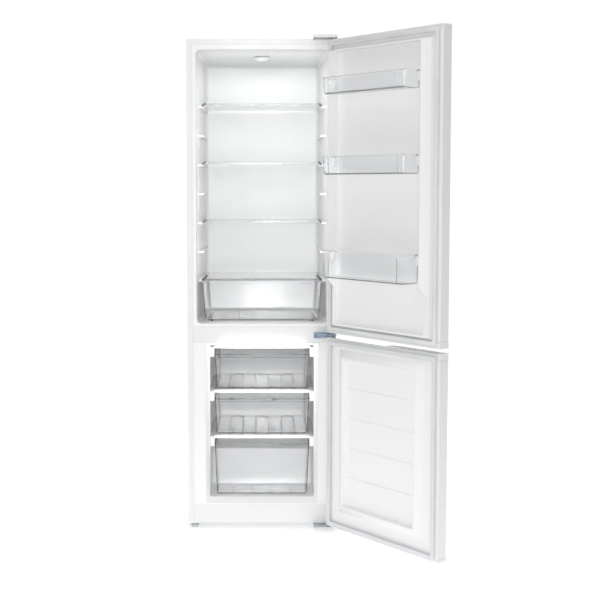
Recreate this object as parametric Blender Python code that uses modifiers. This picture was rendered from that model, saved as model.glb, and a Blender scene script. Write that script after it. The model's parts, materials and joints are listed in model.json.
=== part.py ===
"""Free-standing refrigerator with its freezer below: a static-cooled, two-door household cabinet.

Metres, +Z up. The front faces -Y and +X is to the right when it is seen from the front.
Sizes and places are given in the cabinet's own frame: X from its middle, Y back from its front
plane, Z up from the floor. One empty carries everything, and puts the model's origin on the floor
under the middle of the overall box, both doors standing open. Each door is modelled round its
hinge axis, closed, and hangs from an empty on that axis which turns it open.
"""

import math

import bmesh
import bpy
from mathutils import Matrix, Vector

GAP = 0.0003  # between pieces that touch
PIN_CLEARANCE = 0.0005  # round a pin, on the radius

# Cabinet
CABINET_WIDTH = 0.545
CABINET_DEPTH = 0.502
CABINET_HEIGHT = 1.800
SHEET = 0.0015
STEEL_FLANGE = 0.020
BASE_HEIGHT = 0.020
INSULATION_BACK = 0.067
LINER_WALL = 0.002

# Refrigerator compartment
FRIDGE_FLANGE = 0.0122
FRIDGE_FLANGE_LIP = 0.0098
FRIDGE_DRAFT = 0.014
CEILING_DROP = 0.0372
CEILING_DRAFT = 0.0148
FLOOR_DRAFT = 0.002
LINER_RADIUS = 0.016
LEDGE_HEIGHT = 0.007
LEDGE_OVERLAP = 0.005
LEDGE_MARGIN = 0.006
GUTTER_DEPTH = 0.007
GUTTER_WIDTH = 0.009
GUTTER_LEFT = (-0.184, 0.050)  # across, and above the floor
GUTTER_LOW = 0.020
GUTTER_RIGHT = (0.202, 0.070)

# Freezer compartment
FREEZER_HALF_WIDTH = 0.193
FREEZER_INSULATION_BACK = 0.102
FREEZER_FLOOR = 0.116
FREEZER_RADIUS = 0.008
FREEZER_CEILING_DROP = 0.010
STEP_DEPTH = 0.205
STEP_TOP = 0.256
FLARE_WIDTH = 0.014
FLARE_DEPTH = 0.020
FLARE_BOTTOM = 0.095
FREEZER_FLANGE_LIP = 0.004
MULLION_HALF = 0.0368
RAIL_RETURN = 0.012

# Machine compartment
BAY_FRONT = 0.262
BAY_TOP = 0.212

# Doors
DOOR_THICKNESS = 0.0425
DOOR_FLOOR_GAP = 0.0236
DOOR_TOP_GAP = 0.0079
DOOR_GAP = 0.0162
FREEZER_DOOR_HEIGHT = 0.6991
HINGE_INSET = 0.0133
HINGE_FROM_INNER_FACE = 0.019
SEAL_THICKNESS = 0.0127
SEAL_WIDTH = 0.014
SEAL_INSET = 0.0105
SEAL_MARGIN = 0.0183
OUTER_CAP = 0.012
INNER_CAP = 0.024
OPEN_ANGLE = math.radians(129.5)
DOOR_EDGE_RADIUS = 0.004
CAP_EDGE_RADIUS = 0.0015
GRIP_INSET = 0.030
GRIP_LENGTH = 0.220
GRIP_WALL = 0.008
GRIP_DEPTH = 0.018
GRIP_DRAFT = 0.003
GRIP_RADIUS = 0.004

# Door liners
DIKE_LOW = 0.014
DIKE_HIGH = 0.040
DIKE_INSET = 0.0343
DIKE_SLOPE = 0.008
DIKE_MARGIN_LOW = 0.026
DIKE_MARGIN_HIGH = 0.033
DIKE_BASE = 0.018
FREE_DIKE_BASE = 0.030
RIDGE_WIDTH = 0.007
RIDGE_START = 0.165
RIDGE_RAMP = 0.034
FREEZER_DIKE = 0.018
FREEZER_DIKE_INSET = 0.069
FREEZER_DIKE_SLOPE = 0.026
FREEZER_DIKE_TOP = 0.006
FREEZER_DIKE_MARGIN_LOW = 0.0644
FREEZER_DIKE_MARGIN_HIGH = 0.038

# Balconies
BALCONY_HEIGHTS = (0.096, 0.063, 0.058)
BALCONY_BOTTOM_INSET = 0.209
BALCONY_TOP_INSET = 0.202
BALCONY_MIDDLE_PLACE = 0.565
BALCONY_REACH = 0.086
BALCONY_HINGE_END = 0.052
BALCONY_FREE_END = 0.443
BALCONY_BACK = 0.005
BOSS_DEPTH = 0.022
BOSS_HEIGHT = 0.030
HOOK_THICKNESS = 0.004
CLEAR_WALL = 0.0025

# Shelves and crisper
TOP_SPACE = 0.180
SHELF_GLASS = 0.004
SHELF_HALF_WIDTH = 0.223
SHELF_FRONT = 0.085
SHELF_BACK_GAP = 0.010
TRIM_HEIGHT = 0.012
TRIM_DEPTH = 0.014
TRIM_LIP = 0.005
CRISPER_HEIGHT = 0.140
CRISPER_HALF_WIDTH = 0.222
CRISPER_FRONT = 0.036
CRISPER_DRAFT = 0.011
CRISPER_RADIUS = 0.012
CRISPER_LIP = 0.010
CRISPER_COVER_FRONT = 0.060
CRISPER_COVER_GAP = 0.008
CRISPER_RUNNER = 0.004

# Freezer drawers and evaporator shelves
DRAWER_FRONT = 0.040
DRAWER_LIP = 0.010
DRAWER_DRAFT = 0.008
DRAWER_RADIUS = 0.010
DRAWER_HEAD_ROOM = 0.0235
DRAWER_BACK_GAP = 0.002
BOTTOM_SPACE = 0.219
MIDDLE_SPACE = 0.159
SHELF_BAR = 0.012
SHELF_BAR_FRONT = 0.028
SHELF_BAR_DEPTH = 0.010
SHELF_ARM = 0.0155
ARM_DROP = 0.007
TUBE_DROP = 0.002
SHELF_BLOCK_HEIGHT = 0.044
SHELF_BLOCK_DEPTH = 0.034
EVAPORATOR_TUBE = 0.004
EVAPORATOR_RUNS = 8

# Lamp and thermostat
LAMP_DEPTH = 0.190
LENS_RADIUS = 0.019
LENS_STEM = 0.0125
DIAL_RADIUS = 0.0315
DIAL_HEIGHT = 0.009
LENS_THICKNESS = 0.003
LENS_CROWN = 0.001
LENS_BEVEL = 0.004
DIAL_BEVEL = 0.0022

# Hinges
PIN_RADIUS = 0.004
BRACKET_SHEET = 0.003
PIN_INTO_OUTER_CAP = 0.009
PIN_INTO_INNER_CAP = 0.016
BRACKET_INNER_REACH = 0.069
BRACKET_NOSE = 0.012
TOP_BRACKET_BACK = 0.060
BOTTOM_BRACKET_BACK = 0.075
COVER_HEIGHT = 0.010
COVER_WALL = 0.002
COVER_MARGIN = 0.006
MIDDLE_BRACKET_DROP = 0.009

# Feet and rollers
FOOT_RADIUS = 0.0145
FOOT_PAD = 0.011
FOOT_COLLAR_RADIUS = 0.009
FOOT_STEM_RADIUS = 0.004
FOOT_STEM_TOP = 0.046
FOOT_INSET = 0.022
FOOT_DEPTH = 0.030
ROLLER_RADIUS = 0.010
ROLLER_WIDTH = 0.014
ROLLER_BORE = 0.003
ROLLER_INSET = 0.050
ROLLER_FROM_BACK = 0.040
EAR_SHEET = 0.0025

# Refrigerating machine
COMPRESSOR_RADIUS = 0.072
COMPRESSOR_HEIGHT = 0.132
COMPRESSOR_X = 0.080
COMPRESSOR_BELT = 0.004
CROWN_RADIUS = 0.030
CROWN_STEPS = 5
MOUNT_SHEET = 0.003
MOUNT_HALF_LENGTH = 0.098
MOUNT_HALF_DEPTH = 0.060
GROMMET_RADIUS = 0.010
GROMMET_HEIGHT = 0.012
TRAY_HALF_WIDTH = 0.062
TRAY_HEIGHT = 0.028
TRAY_WALL = 0.0018
TRAY_DRAFT = 0.004
TRAY_RADIUS = 0.006
DRIER_RADIUS = 0.009
DRIER_LENGTH = 0.110
DRIER_BEHIND = 0.040  # behind the bay's middle
DRIER_LIFT = 0.010
PORT_OFFSET = 0.020
SUCTION_DROP = 0.015
PIPE_STEP = 0.010
PIPE_RADIUS = 0.0035
TERMINAL_REACH = 0.038
TERMINAL_HALF_WIDTH = 0.026
TERMINAL_HEIGHT = 0.062
TERMINAL_LIFT = 0.030
TERMINAL_RADIUS = 0.003
GLAND_RADIUS = 0.007
GLAND_BORE = 0.0038
GLAND_REACH = 0.014
CONDENSER_TUBE = 0.0027
CONDENSER_RUNS = 16
CONDENSER_HALF_WIDTH = 0.215
CONDENSER_BOTTOM = 0.300
CONDENSER_TOP_INSET = 0.260
CONDENSER_STANDOFF = 0.016
CONDENSER_LEAD = 0.040
CONDENSER_BEND = 0.010
STRAP_X = 0.150
STRAP_WIDTH = 0.012
DRAIN_RADIUS = 0.007
DRAIN_X = -0.102
COLD_PLATE = 0.0016
COLD_PLATE_MARGIN = 0.045

# Places that follow from the sizes above
HALF_WIDTH = CABINET_WIDTH / 2
INSIDE_HALF = HALF_WIDTH - SHEET - GAP
FRAME_HALF = HALF_WIDTH - STEEL_FLANGE - GAP
FRIDGE_HALF = FRAME_HALF - FRIDGE_FLANGE
FRIDGE_BACK = CABINET_DEPTH - INSULATION_BACK
FREEZER_BACK = CABINET_DEPTH - FREEZER_INSULATION_BACK
FREEZER_DOOR_TOP = DOOR_FLOOR_GAP + FREEZER_DOOR_HEIGHT
FRIDGE_DOOR_BOTTOM = FREEZER_DOOR_TOP + DOOR_GAP
FRIDGE_DOOR_TOP = CABINET_HEIGHT - DOOR_TOP_GAP
MULLION = FREEZER_DOOR_TOP + DOOR_GAP / 2
FRIDGE_FLOOR = MULLION + MULLION_HALF
FRIDGE_CEILING = CABINET_HEIGHT - CEILING_DROP
FLARE_TOP = MULLION - MULLION_HALF
FREEZER_CEILING = FLARE_TOP - FREEZER_CEILING_DROP
INNER_FACE_Y = -(SEAL_THICKNESS + 2 * GAP)
AXIS_X = HALF_WIDTH - HINGE_INSET
AXIS_Y = INNER_FACE_Y - HINGE_FROM_INNER_FACE
DOOR_OUTER_Y = HINGE_FROM_INNER_FACE - DOOR_THICKNESS
DOOR_FREE_X = HINGE_INSET - CABINET_WIDTH
CRISPER_COVER_Z = FRIDGE_FLOOR + FLOOR_DRAFT + CRISPER_RUNNER + CRISPER_HEIGHT + CRISPER_COVER_GAP
SHELF_PITCH = (FRIDGE_CEILING - CEILING_DRAFT - TOP_SPACE - CRISPER_COVER_Z) / 3
SHELF_BACK = FRIDGE_BACK - SHELF_BACK_GAP
BACK_PANEL_Y = CABINET_DEPTH - SHEET - GAP

PARTS = None
CUTTERS = None
ORIGIN = None


# ---------------------------------------------------------------- scene and materials


def clear_scene():
    """Removes the objects of the file that this is run in."""
    for item in list(bpy.data.objects):
        bpy.data.objects.remove(item, do_unlink=True)


def new_collection(name):
    """A collection linked to the scene."""
    collection = bpy.data.collections.new(name)
    bpy.context.scene.collection.children.link(collection)
    return collection


def make_material(name, color, roughness, metallic=0.0, alpha=1.0):
    """A Principled BSDF material."""
    material = bpy.data.materials.new(name)
    material.use_nodes = True
    shader = material.node_tree.nodes["Principled BSDF"]
    shader.inputs["Base Color"].default_value = (*color, 1.0)
    shader.inputs["Roughness"].default_value = roughness
    shader.inputs["Metallic"].default_value = metallic
    shader.inputs["Alpha"].default_value = alpha
    material.diffuse_color = (*color, alpha)
    return material


def make_materials():
    """The finishes, by name."""
    return {
        "enamel": make_material("enamel", (0.90, 0.90, 0.91), 0.35),
        "liner": make_material("liner", (0.91, 0.92, 0.92), 0.30),
        "white_plastic": make_material("white_plastic", (0.88, 0.89, 0.90), 0.40),
        "clear_plastic": make_material("clear_plastic", (0.86, 0.89, 0.91), 0.12, alpha=0.35),
        "glass": make_material("glass", (0.84, 0.90, 0.90), 0.05, alpha=0.35),
        "foam": make_material("foam", (0.80, 0.74, 0.55), 0.90),
        "seal": make_material("seal", (0.82, 0.83, 0.84), 0.60),
        "zinc": make_material("zinc", (0.62, 0.66, 0.72), 0.30, metallic=1.0),
        "galvanised": make_material("galvanised", (0.60, 0.62, 0.63), 0.45, metallic=1.0),
        "black_enamel": make_material("black_enamel", (0.02, 0.02, 0.022), 0.35),
        "black_plastic": make_material("black_plastic", (0.03, 0.03, 0.032), 0.50),
        "grey_plastic": make_material("grey_plastic", (0.45, 0.46, 0.47), 0.50),
        "copper": make_material("copper", (0.72, 0.38, 0.24), 0.30, metallic=1.0),
        "lens": make_material("lens", (0.95, 0.95, 0.92), 0.20),
    }


# ---------------------------------------------------------------- shapes


def tapered_box(bm, axis, start, start_rect, end, end_rect):
    """A box along an axis whose cross rectangle changes from start_rect to end_rect."""
    others = [index for index in range(3) if index != axis]
    for vert in bmesh.ops.create_cube(bm, size=2)["verts"]:
        at_end = vert.co[axis] > 0
        for index, (low, high) in zip(others, end_rect if at_end else start_rect):
            vert.co[index] = high if vert.co[index] > 0 else low
        vert.co[axis] = end if at_end else start
    bmesh.ops.recalc_face_normals(bm, faces=bm.faces)


def plain_box(bm, low, high):
    """A box between two corners."""
    rect = tuple(zip(low, high))
    tapered_box(bm, 2, low[2], rect[:2], high[2], rect[:2])


def round_edges(bm, radius, segments, axis=None, at=None):
    """Rounds the sharp edges, apart from those that lie in the plane axis = at."""
    chosen = []
    for edge in bm.edges:
        in_plane = axis is not None and all(abs(v.co[axis] - at) < GAP for v in edge.verts)
        if len(edge.link_faces) == 2 and edge.calc_face_angle() > math.radians(30) and not in_plane:
            chosen.append(edge)
    bmesh.ops.bevel(bm, geom=chosen, offset=radius, segments=segments, profile=0.5, affect="EDGES")


def add_object(name, data, material, parent):
    """Links an object: with a material it is a part, without one it is a cutter."""
    item = bpy.data.objects.new(name, data)
    item.parent = parent or ORIGIN
    if material is None:
        CUTTERS.objects.link(item)
        item.hide_render = True
        item.display_type = "WIRE"
    else:
        PARTS.objects.link(item)
        data.materials.append(MATERIALS[material])
    return item


def from_bmesh(name, bm, material=None, parent=None):
    """An object from a bmesh, shaded smooth up to 35 degrees."""
    mesh = bpy.data.meshes.new(name)
    bmesh.ops.recalc_face_normals(bm, faces=bm.faces)
    bm.to_mesh(mesh)
    bm.free()
    mesh.shade_smooth()
    mesh.set_sharp_from_angle(angle=math.radians(35))
    return add_object(name, mesh, material, parent)


def box(name, low, high, material=None, parent=None, radius=0.0, segments=2):
    """A box between two corners, its edges rounded where a radius is given."""
    bm = bmesh.new()
    plain_box(bm, low, high)
    if radius:
        round_edges(bm, radius, segments)
    return from_bmesh(name, bm, material, parent)


def boxes(name, corner_pairs, material=None, parent=None):
    """Several boxes that stay clear of each other, as one object."""
    bm = bmesh.new()
    for low, high in corner_pairs:
        plain_box(bm, low, high)
    return from_bmesh(name, bm, material, parent)


def tub(name, axis, start, start_rect, end, end_rect, radius, material=None, parent=None):
    """A tapered box with rounded edges, apart from those round its start face."""
    bm = bmesh.new()
    tapered_box(bm, axis, start, start_rect, end, end_rect)
    if radius:
        round_edges(bm, radius, 3, axis, start)
    return from_bmesh(name, bm, material, parent)


def cylinder(name, start, end, radius, material=None, parent=None, sides=24):
    """A round bar from one point to another."""
    start, end = Vector(start), Vector(end)
    along = end - start
    turn = along.to_track_quat("Z", "Y").to_matrix().to_4x4()
    matrix = Matrix.Translation((start + end) / 2) @ turn
    bm = bmesh.new()
    bmesh.ops.create_cone(
        bm, cap_ends=True, segments=sides, radius1=radius, radius2=radius, depth=along.length, matrix=matrix
    )
    return from_bmesh(name, bm, material, parent)


def turned(name, profile, centre, material=None, parent=None, steps=32):
    """A turned shape round a vertical axis: profile holds (radius, height), outer side from top to bottom."""
    mesh = bpy.data.meshes.new(name)
    edges = [(index, index + 1) for index in range(len(profile) - 1)]
    mesh.from_pydata([(radius, 0, height) for radius, height in profile], edges, [])
    item = add_object(name, mesh, material, parent)
    item.location = centre
    screw = item.modifiers.new("turn", "SCREW")
    screw.steps = screw.render_steps = steps
    screw.use_merge_vertices = True
    screw.merge_threshold = 0.00001
    screw.use_smooth_shade = True
    return item


def as_mesh(item):
    """Turns a curve object into a mesh object with its caps welded."""
    bpy.context.view_layer.update()
    evaluated = item.evaluated_get(bpy.context.evaluated_depsgraph_get())
    mesh = bpy.data.meshes.new_from_object(evaluated)
    name, parent, collection = item.name, item.parent, item.users_collection[0]
    hidden, display = item.hide_render, item.display_type
    bpy.data.objects.remove(item, do_unlink=True)
    bm = bmesh.new()
    bm.from_mesh(mesh)
    bmesh.ops.remove_doubles(bm, verts=bm.verts, dist=0.00001)
    bmesh.ops.dissolve_limit(bm, angle_limit=math.radians(1), verts=bm.verts, edges=bm.edges)
    bmesh.ops.recalc_face_normals(bm, faces=bm.faces)
    bm.to_mesh(mesh)
    bm.free()
    result = bpy.data.objects.new(name, mesh)
    collection.objects.link(result)
    result.parent = parent
    result.hide_render = hidden
    result.display_type = display
    return result


def tube(name, points, radius, material=None, parent=None, smooth=False):
    """A round tube with closed ends along a path: straight between its points, or a smooth curve."""
    curve = bpy.data.curves.new(name, "CURVE")
    curve.dimensions = "3D"
    curve.bevel_depth = radius
    curve.bevel_resolution = 2
    curve.resolution_u = 5
    curve.use_fill_caps = True
    spline = curve.splines.new("BEZIER" if smooth else "POLY")
    if smooth:
        spline.bezier_points.add(len(points) - 1)
        for knot, point in zip(spline.bezier_points, points):
            knot.co = point
            knot.handle_left_type = knot.handle_right_type = "AUTO"
    else:
        spline.points.add(len(points) - 1)
        for knot, point in zip(spline.points, points):
            knot.co = (*point, 1)
    return add_object(name, curve, material, parent)


def outline_solid(name, points, thickness, frame, material=None, parent=None):
    """A flat outline in a frame's XY plane, with a thickness across it."""
    curve = bpy.data.curves.new(name, "CURVE")
    curve.dimensions = "2D"
    curve.fill_mode = "BOTH"
    curve.extrude = thickness / 2
    spline = curve.splines.new("POLY")
    spline.points.add(len(points) - 1)
    spline.use_cyclic_u = True
    for knot, (across, up) in zip(spline.points, points):
        knot.co = (across, up, 0, 1)
    item = as_mesh(add_object(name, curve, material, parent))
    item.data.transform(frame)
    return item


def round_outline_solid(item, radius, axis, at):
    """Rounds an outline solid's edges, apart from those in the plane axis = at."""
    bm = bmesh.new()
    bm.from_mesh(item.data)
    round_edges(bm, radius, 3, axis, at)
    bm.to_mesh(item.data)
    bm.free()
    return item


def combine(item, other, operation):
    """Adds a Boolean modifier: other is cut from item, or joined to it."""
    modifier = item.modifiers.new(other.name, "BOOLEAN")
    modifier.operation = operation
    modifier.solver = "EXACT"
    modifier.object = other


def cut(item, *others):
    """Cuts shapes out of a piece."""
    for other in others:
        combine(item, other, "DIFFERENCE")
    return item


def join(item, *others):
    """Joins shapes to a piece."""
    for other in others:
        combine(item, other, "UNION")
    return item


def move_origin(item, point):
    """Puts a piece's origin on a point and leaves its shape where it is."""
    item.data.transform(Matrix.Translation(-Vector(point)))
    item.location = point
    return item


def grown(rect, margin):
    """A rectangle, as two (low, high) pairs, made larger on every side."""
    return tuple((low - margin, high + margin) for low, high in rect)


# ---------------------------------------------------------------- cabinet


def fridge_rect(y, margin=0.0):
    """The fridge compartment's cross rectangle, as X and Z pairs, at a depth."""
    share = y / FRIDGE_BACK
    half = FRIDGE_HALF - FRIDGE_DRAFT * share
    low = FRIDGE_FLOOR + FLOOR_DRAFT * share
    high = FRIDGE_CEILING - CEILING_DRAFT * share
    return grown(((-half, half), (low, high)), margin)


def fridge_hollow(name, margin, front):
    """The fridge compartment's shape, grown by a margin, from a front plane to its back."""
    back = FRIDGE_BACK + margin
    return tub(
        name, 1, front, fridge_rect(front, margin), back, fridge_rect(FRIDGE_BACK, margin), LINER_RADIUS + margin
    )


def freezer_hollow(name, margin, front):
    """The freezer compartment's stepped shape, grown by a margin, from a front plane to its back."""
    low, high = FREEZER_FLOOR - margin, FREEZER_CEILING + margin
    step_y, step_z, back = STEP_DEPTH + margin, STEP_TOP - margin, FREEZER_BACK + margin
    points = [(front, low), (step_y, low), (step_y, step_z), (back, step_z), (back, high), (front, high)]
    frame = Matrix(((0, 0, 1, 0), (1, 0, 0, 0), (0, 1, 0, 0), (0, 0, 0, 1)))
    solid = outline_solid(name, points, 2 * (FREEZER_HALF_WIDTH + margin), frame)
    return round_outline_solid(solid, FREEZER_RADIUS + margin, 1, front)


def freezer_flare(name, margin, front):
    """The splayed mouth of the freezer compartment, which narrows to its walls."""
    slope = FLARE_WIDTH / FLARE_DEPTH
    wide = FREEZER_HALF_WIDTH + FLARE_WIDTH + margin - front * slope
    outer = ((-wide, wide), (FLARE_BOTTOM - margin + front * slope, FLARE_TOP + margin - front * slope))
    narrow = FREEZER_HALF_WIDTH + margin
    inner = ((-narrow, narrow), (FREEZER_FLOOR - margin, FREEZER_CEILING + margin))
    return tub(name, 1, front, outer, FLARE_DEPTH + margin, inner, 0)


def cabinet_shell():
    """The painted steel top and sides, folded in at the front."""
    shell = box(
        "cabinet_shell",
        (-HALF_WIDTH, 0, BASE_HEIGHT),
        (HALF_WIDTH, CABINET_DEPTH, CABINET_HEIGHT),
        "enamel",
        radius=0.0012,
    )
    inside = box(
        "shell_inside",
        (-HALF_WIDTH + SHEET, SHEET, 0),
        (HALF_WIDTH - SHEET, 2 * CABINET_DEPTH, CABINET_HEIGHT - SHEET),
    )
    front_opening = box(
        "shell_front_opening",
        (-HALF_WIDTH + STEEL_FLANGE, -SHEET, 0),
        (HALF_WIDTH - STEEL_FLANGE, 2 * SHEET, CABINET_HEIGHT - STEEL_FLANGE),
    )
    return cut(shell, inside, front_opening)


def fridge_liner():
    """The vacuum-formed fridge compartment, with its front flange, shelf ledges and drain gutter."""
    liner = fridge_hollow("fridge_liner", LINER_WALL, GAP)
    CUTTERS.objects.unlink(liner)
    PARTS.objects.link(liner)
    liner.hide_render = False
    liner.display_type = "TEXTURED"
    liner.data.materials.append(MATERIALS["liner"])
    flange = box(
        "fridge_flange",
        (-FRAME_HALF, 0, FRIDGE_FLOOR - FRIDGE_FLANGE_LIP),
        (FRAME_HALF, LINER_WALL, CABINET_HEIGHT - STEEL_FLANGE - GAP),
    )
    join(liner, flange)
    cut(liner, fridge_hollow("fridge_inside", 0, -LINER_RADIUS))
    join(liner, shelf_ledges(), drain_gutter())
    return liner


def shelf_ledges():
    """Ledges on both side walls, at each shelf and half way between two."""
    ledges = bmesh.new()
    front, back = SHELF_FRONT + LEDGE_MARGIN, FRIDGE_BACK - LINER_RADIUS - LEDGE_MARGIN
    inner = SHELF_HALF_WIDTH - LEDGE_OVERLAP
    wall = LINER_WALL / 2
    tops = [CRISPER_COVER_Z + SHELF_PITCH * step / 2 for step in range(7)]
    for top in (value - GAP for value in tops):
        front_wall = fridge_rect(front)[0][1] + wall
        back_wall = fridge_rect(back)[0][1] + wall
        heights = (top - LEDGE_HEIGHT, top)
        tapered_box(ledges, 1, front, ((inner, front_wall), heights), back, ((inner, back_wall), heights))
        tapered_box(ledges, 1, front, ((-front_wall, -inner), heights), back, ((-back_wall, -inner), heights))
    return from_bmesh("shelf_ledges", ledges)


def drain_gutter():
    """The shallow V on the back wall that leads melt water to the drain."""
    left = Vector((GUTTER_LEFT[0], FRIDGE_FLOOR + GUTTER_LEFT[1]))
    low = Vector((DRAIN_X, FRIDGE_FLOOR + GUTTER_LOW))
    right = Vector((GUTTER_RIGHT[0], FRIDGE_FLOOR + GUTTER_RIGHT[1]))
    up = Vector((0, GUTTER_WIDTH))
    points = [left, low, right, right + up, low + up, left + up]
    thickness = GUTTER_DEPTH + LINER_WALL / 2
    middle = FRIDGE_BACK + LINER_WALL / 2 - thickness / 2
    frame = Matrix(((1, 0, 0, 0), (0, 0, -1, middle), (0, 1, 0, 0), (0, 0, 0, 1)))
    return outline_solid("drain_gutter", points, thickness, frame)


def freezer_liner():
    """The freezer compartment with its step over the machine bay, splayed mouth and front flange."""
    liner = box(
        "freezer_liner",
        (-FRAME_HALF, 0, FLARE_BOTTOM - FREEZER_FLANGE_LIP),
        (FRAME_HALF, LINER_WALL, FLARE_TOP + FREEZER_FLANGE_LIP),
        "liner",
    )
    join(liner, freezer_flare("flare_outside", LINER_WALL, GAP))
    join(liner, freezer_hollow("freezer_outside", LINER_WALL, FLARE_DEPTH / 2))
    cut(liner, freezer_flare("flare_inside", 0, -LINER_WALL))
    cut(liner, freezer_hollow("freezer_inside", 0, -LINER_WALL))
    return liner


def middle_rail():
    """The steel rail between the two compartments, a channel open to the back."""
    low = FLARE_TOP + FREEZER_FLANGE_LIP + GAP
    high = FRIDGE_FLOOR - FRIDGE_FLANGE_LIP - GAP
    rail = box("middle_rail", (-FRAME_HALF, 0, low), (FRAME_HALF, RAIL_RETURN, high), "enamel")
    inside = box(
        "rail_inside", (-HALF_WIDTH, SHEET, low + SHEET), (HALF_WIDTH, 2 * RAIL_RETURN, high - SHEET)
    )
    return cut(rail, inside)


def bottom_rail():
    """The painted front panel below the freezer, with a foot on the base plate."""
    low = BASE_HEIGHT + SHEET + GAP
    rail = box("bottom_rail", (-FRAME_HALF, 0, low), (FRAME_HALF, SHEET, FLARE_BOTTOM - FREEZER_FLANGE_LIP - GAP), "enamel")
    foot = box("rail_foot", (-FRAME_HALF + SHEET, SHEET / 2, low), (FRAME_HALF - SHEET, 2 * RAIL_RETURN, low + SHEET))
    return join(rail, foot)


def base_plate():
    """The base: a plate with holes for the front feet, and ears and axles for the rear rollers."""
    plate = box(
        "base_plate",
        (-INSIDE_HALF, SHEET + GAP, BASE_HEIGHT),
        (INSIDE_HALF, CABINET_DEPTH, BASE_HEIGHT + SHEET),
        "galvanised",
    )
    for side in (-1, 1):
        x = side * (HALF_WIDTH - FOOT_INSET)
        hole = cylinder(
            "foot_hole", (x, FOOT_DEPTH, 0), (x, FOOT_DEPTH, 2 * BASE_HEIGHT), FOOT_STEM_RADIUS + PIN_CLEARANCE
        )
        cut(plate, hole)
        join(plate, roller_ears(side), roller_axle(side))
    return plate


def roller_place(side):
    """The middle of a rear roller."""
    return Vector((side * (HALF_WIDTH - ROLLER_INSET), CABINET_DEPTH - ROLLER_FROM_BACK, ROLLER_RADIUS))


def roller_ears(side):
    """Two ears that reach down beside a rear roller, held clear of the floor."""
    centre = roller_place(side)
    inner = ROLLER_WIDTH / 2 + PIN_CLEARANCE
    low = centre.z - ROLLER_BORE - EAR_SHEET / 2
    pairs = []
    for hand in (-1, 1):
        edges = sorted((centre.x + hand * inner, centre.x + hand * (inner + EAR_SHEET)))
        pairs.append(
            (
                (edges[0], centre.y - ROLLER_RADIUS, low),
                (edges[1], centre.y + ROLLER_RADIUS, BASE_HEIGHT + SHEET / 2),
            )
        )
    return boxes("roller_ears", pairs)


def roller_axle(side):
    """The axle between a roller's ears."""
    centre = roller_place(side)
    half = Vector((ROLLER_WIDTH / 2 + PIN_CLEARANCE + EAR_SHEET / 2, 0, 0))
    return cylinder("roller_axle", centre - half, centre + half, ROLLER_BORE - PIN_CLEARANCE, sides=12)


def rear_roller(side, word):
    """A plastic roller with its bore, its origin on the axle."""
    centre = roller_place(side)
    half = Vector((ROLLER_WIDTH / 2, 0, 0))
    roller = cylinder(f"rear_roller_{word}", centre - half, centre + half, ROLLER_RADIUS, "black_plastic", sides=32)
    bore = cylinder("roller_bore", centre - 2 * half, centre + 2 * half, ROLLER_BORE, sides=16)
    cut(roller, bore)
    return move_origin(roller, centre)


def front_foot(side, word, seat):
    """A levelling foot: pad, collar up to its seat, and screw stem."""
    x = side * (HALF_WIDTH - FOOT_INSET)
    bevel = FOOT_PAD / 5
    profile = [
        (0, FOOT_STEM_TOP),
        (FOOT_STEM_RADIUS, FOOT_STEM_TOP),
        (FOOT_STEM_RADIUS, seat - GAP),
        (FOOT_COLLAR_RADIUS, seat - GAP),
        (FOOT_COLLAR_RADIUS, FOOT_PAD),
        (FOOT_RADIUS - bevel, FOOT_PAD),
        (FOOT_RADIUS, FOOT_PAD - bevel),
        (FOOT_RADIUS, bevel),
        (FOOT_RADIUS - bevel, 0),
        (0, 0),
    ]
    return turned(f"front_foot_{word}", profile, (x, FOOT_DEPTH, 0), "grey_plastic", steps=20)


def back_panel():
    """One bent sheet: the cabinet's back, the ceiling of the machine bay and the bay's front wall."""
    low, bay, top = BASE_HEIGHT + SHEET + GAP, BAY_TOP, CABINET_HEIGHT - SHEET - GAP
    front, back = BAY_FRONT, BACK_PANEL_Y + SHEET
    points = [
        (front, low),
        (front, bay),
        (back - SHEET, bay),
        (back - SHEET, top),
        (back, top),
        (back, bay - SHEET),
        (front + SHEET, bay - SHEET),
        (front + SHEET, low),
    ]
    frame = Matrix(((0, 0, 1, 0), (1, 0, 0, 0), (0, 1, 0, 0), (0, 0, 0, 1)))
    panel = outline_solid("back_panel", points, 2 * INSIDE_HALF, frame, "galvanised")
    hole = cylinder(
        "drain_hole",
        (DRAIN_X, drain_y(), bay - 2 * SHEET),
        (DRAIN_X, drain_y(), bay + SHEET),
        DRAIN_RADIUS + GAP,
    )
    return cut(panel, hole)


def drain_y():
    """How far back the drain tube comes down."""
    return (BAY_FRONT + BACK_PANEL_Y) / 2


def cabinet_insulation():
    """The foam between the steel and the liners, in one piece as it is blown."""
    foam = box(
        "cabinet_insulation",
        (-INSIDE_HALF, LINER_WALL + GAP, BASE_HEIGHT + 2 * SHEET + 2 * GAP),
        (INSIDE_HALF, BACK_PANEL_Y - GAP, CABINET_HEIGHT - SHEET - GAP),
        "foam",
    )
    grow = LINER_WALL + GAP
    cut(foam, fridge_hollow("foam_fridge", grow, 0))
    cut(foam, freezer_hollow("foam_freezer", grow, 0))
    cut(foam, freezer_flare("foam_flare", grow, 0))
    bay = box(
        "foam_bay",
        (-CABINET_WIDTH, BAY_FRONT - GAP, 0),
        (CABINET_WIDTH, 2 * CABINET_DEPTH, BAY_TOP + GAP),
    )
    low, high = FLARE_TOP + FREEZER_FLANGE_LIP, FRIDGE_FLOOR - FRIDGE_FLANGE_LIP
    rail = box("foam_rail", (-CABINET_WIDTH, 0, low), (CABINET_WIDTH, RAIL_RETURN + GAP, high))
    return cut(foam, bay, rail, cold_plate_pocket(), drain_pocket(), foot_pockets())


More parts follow.
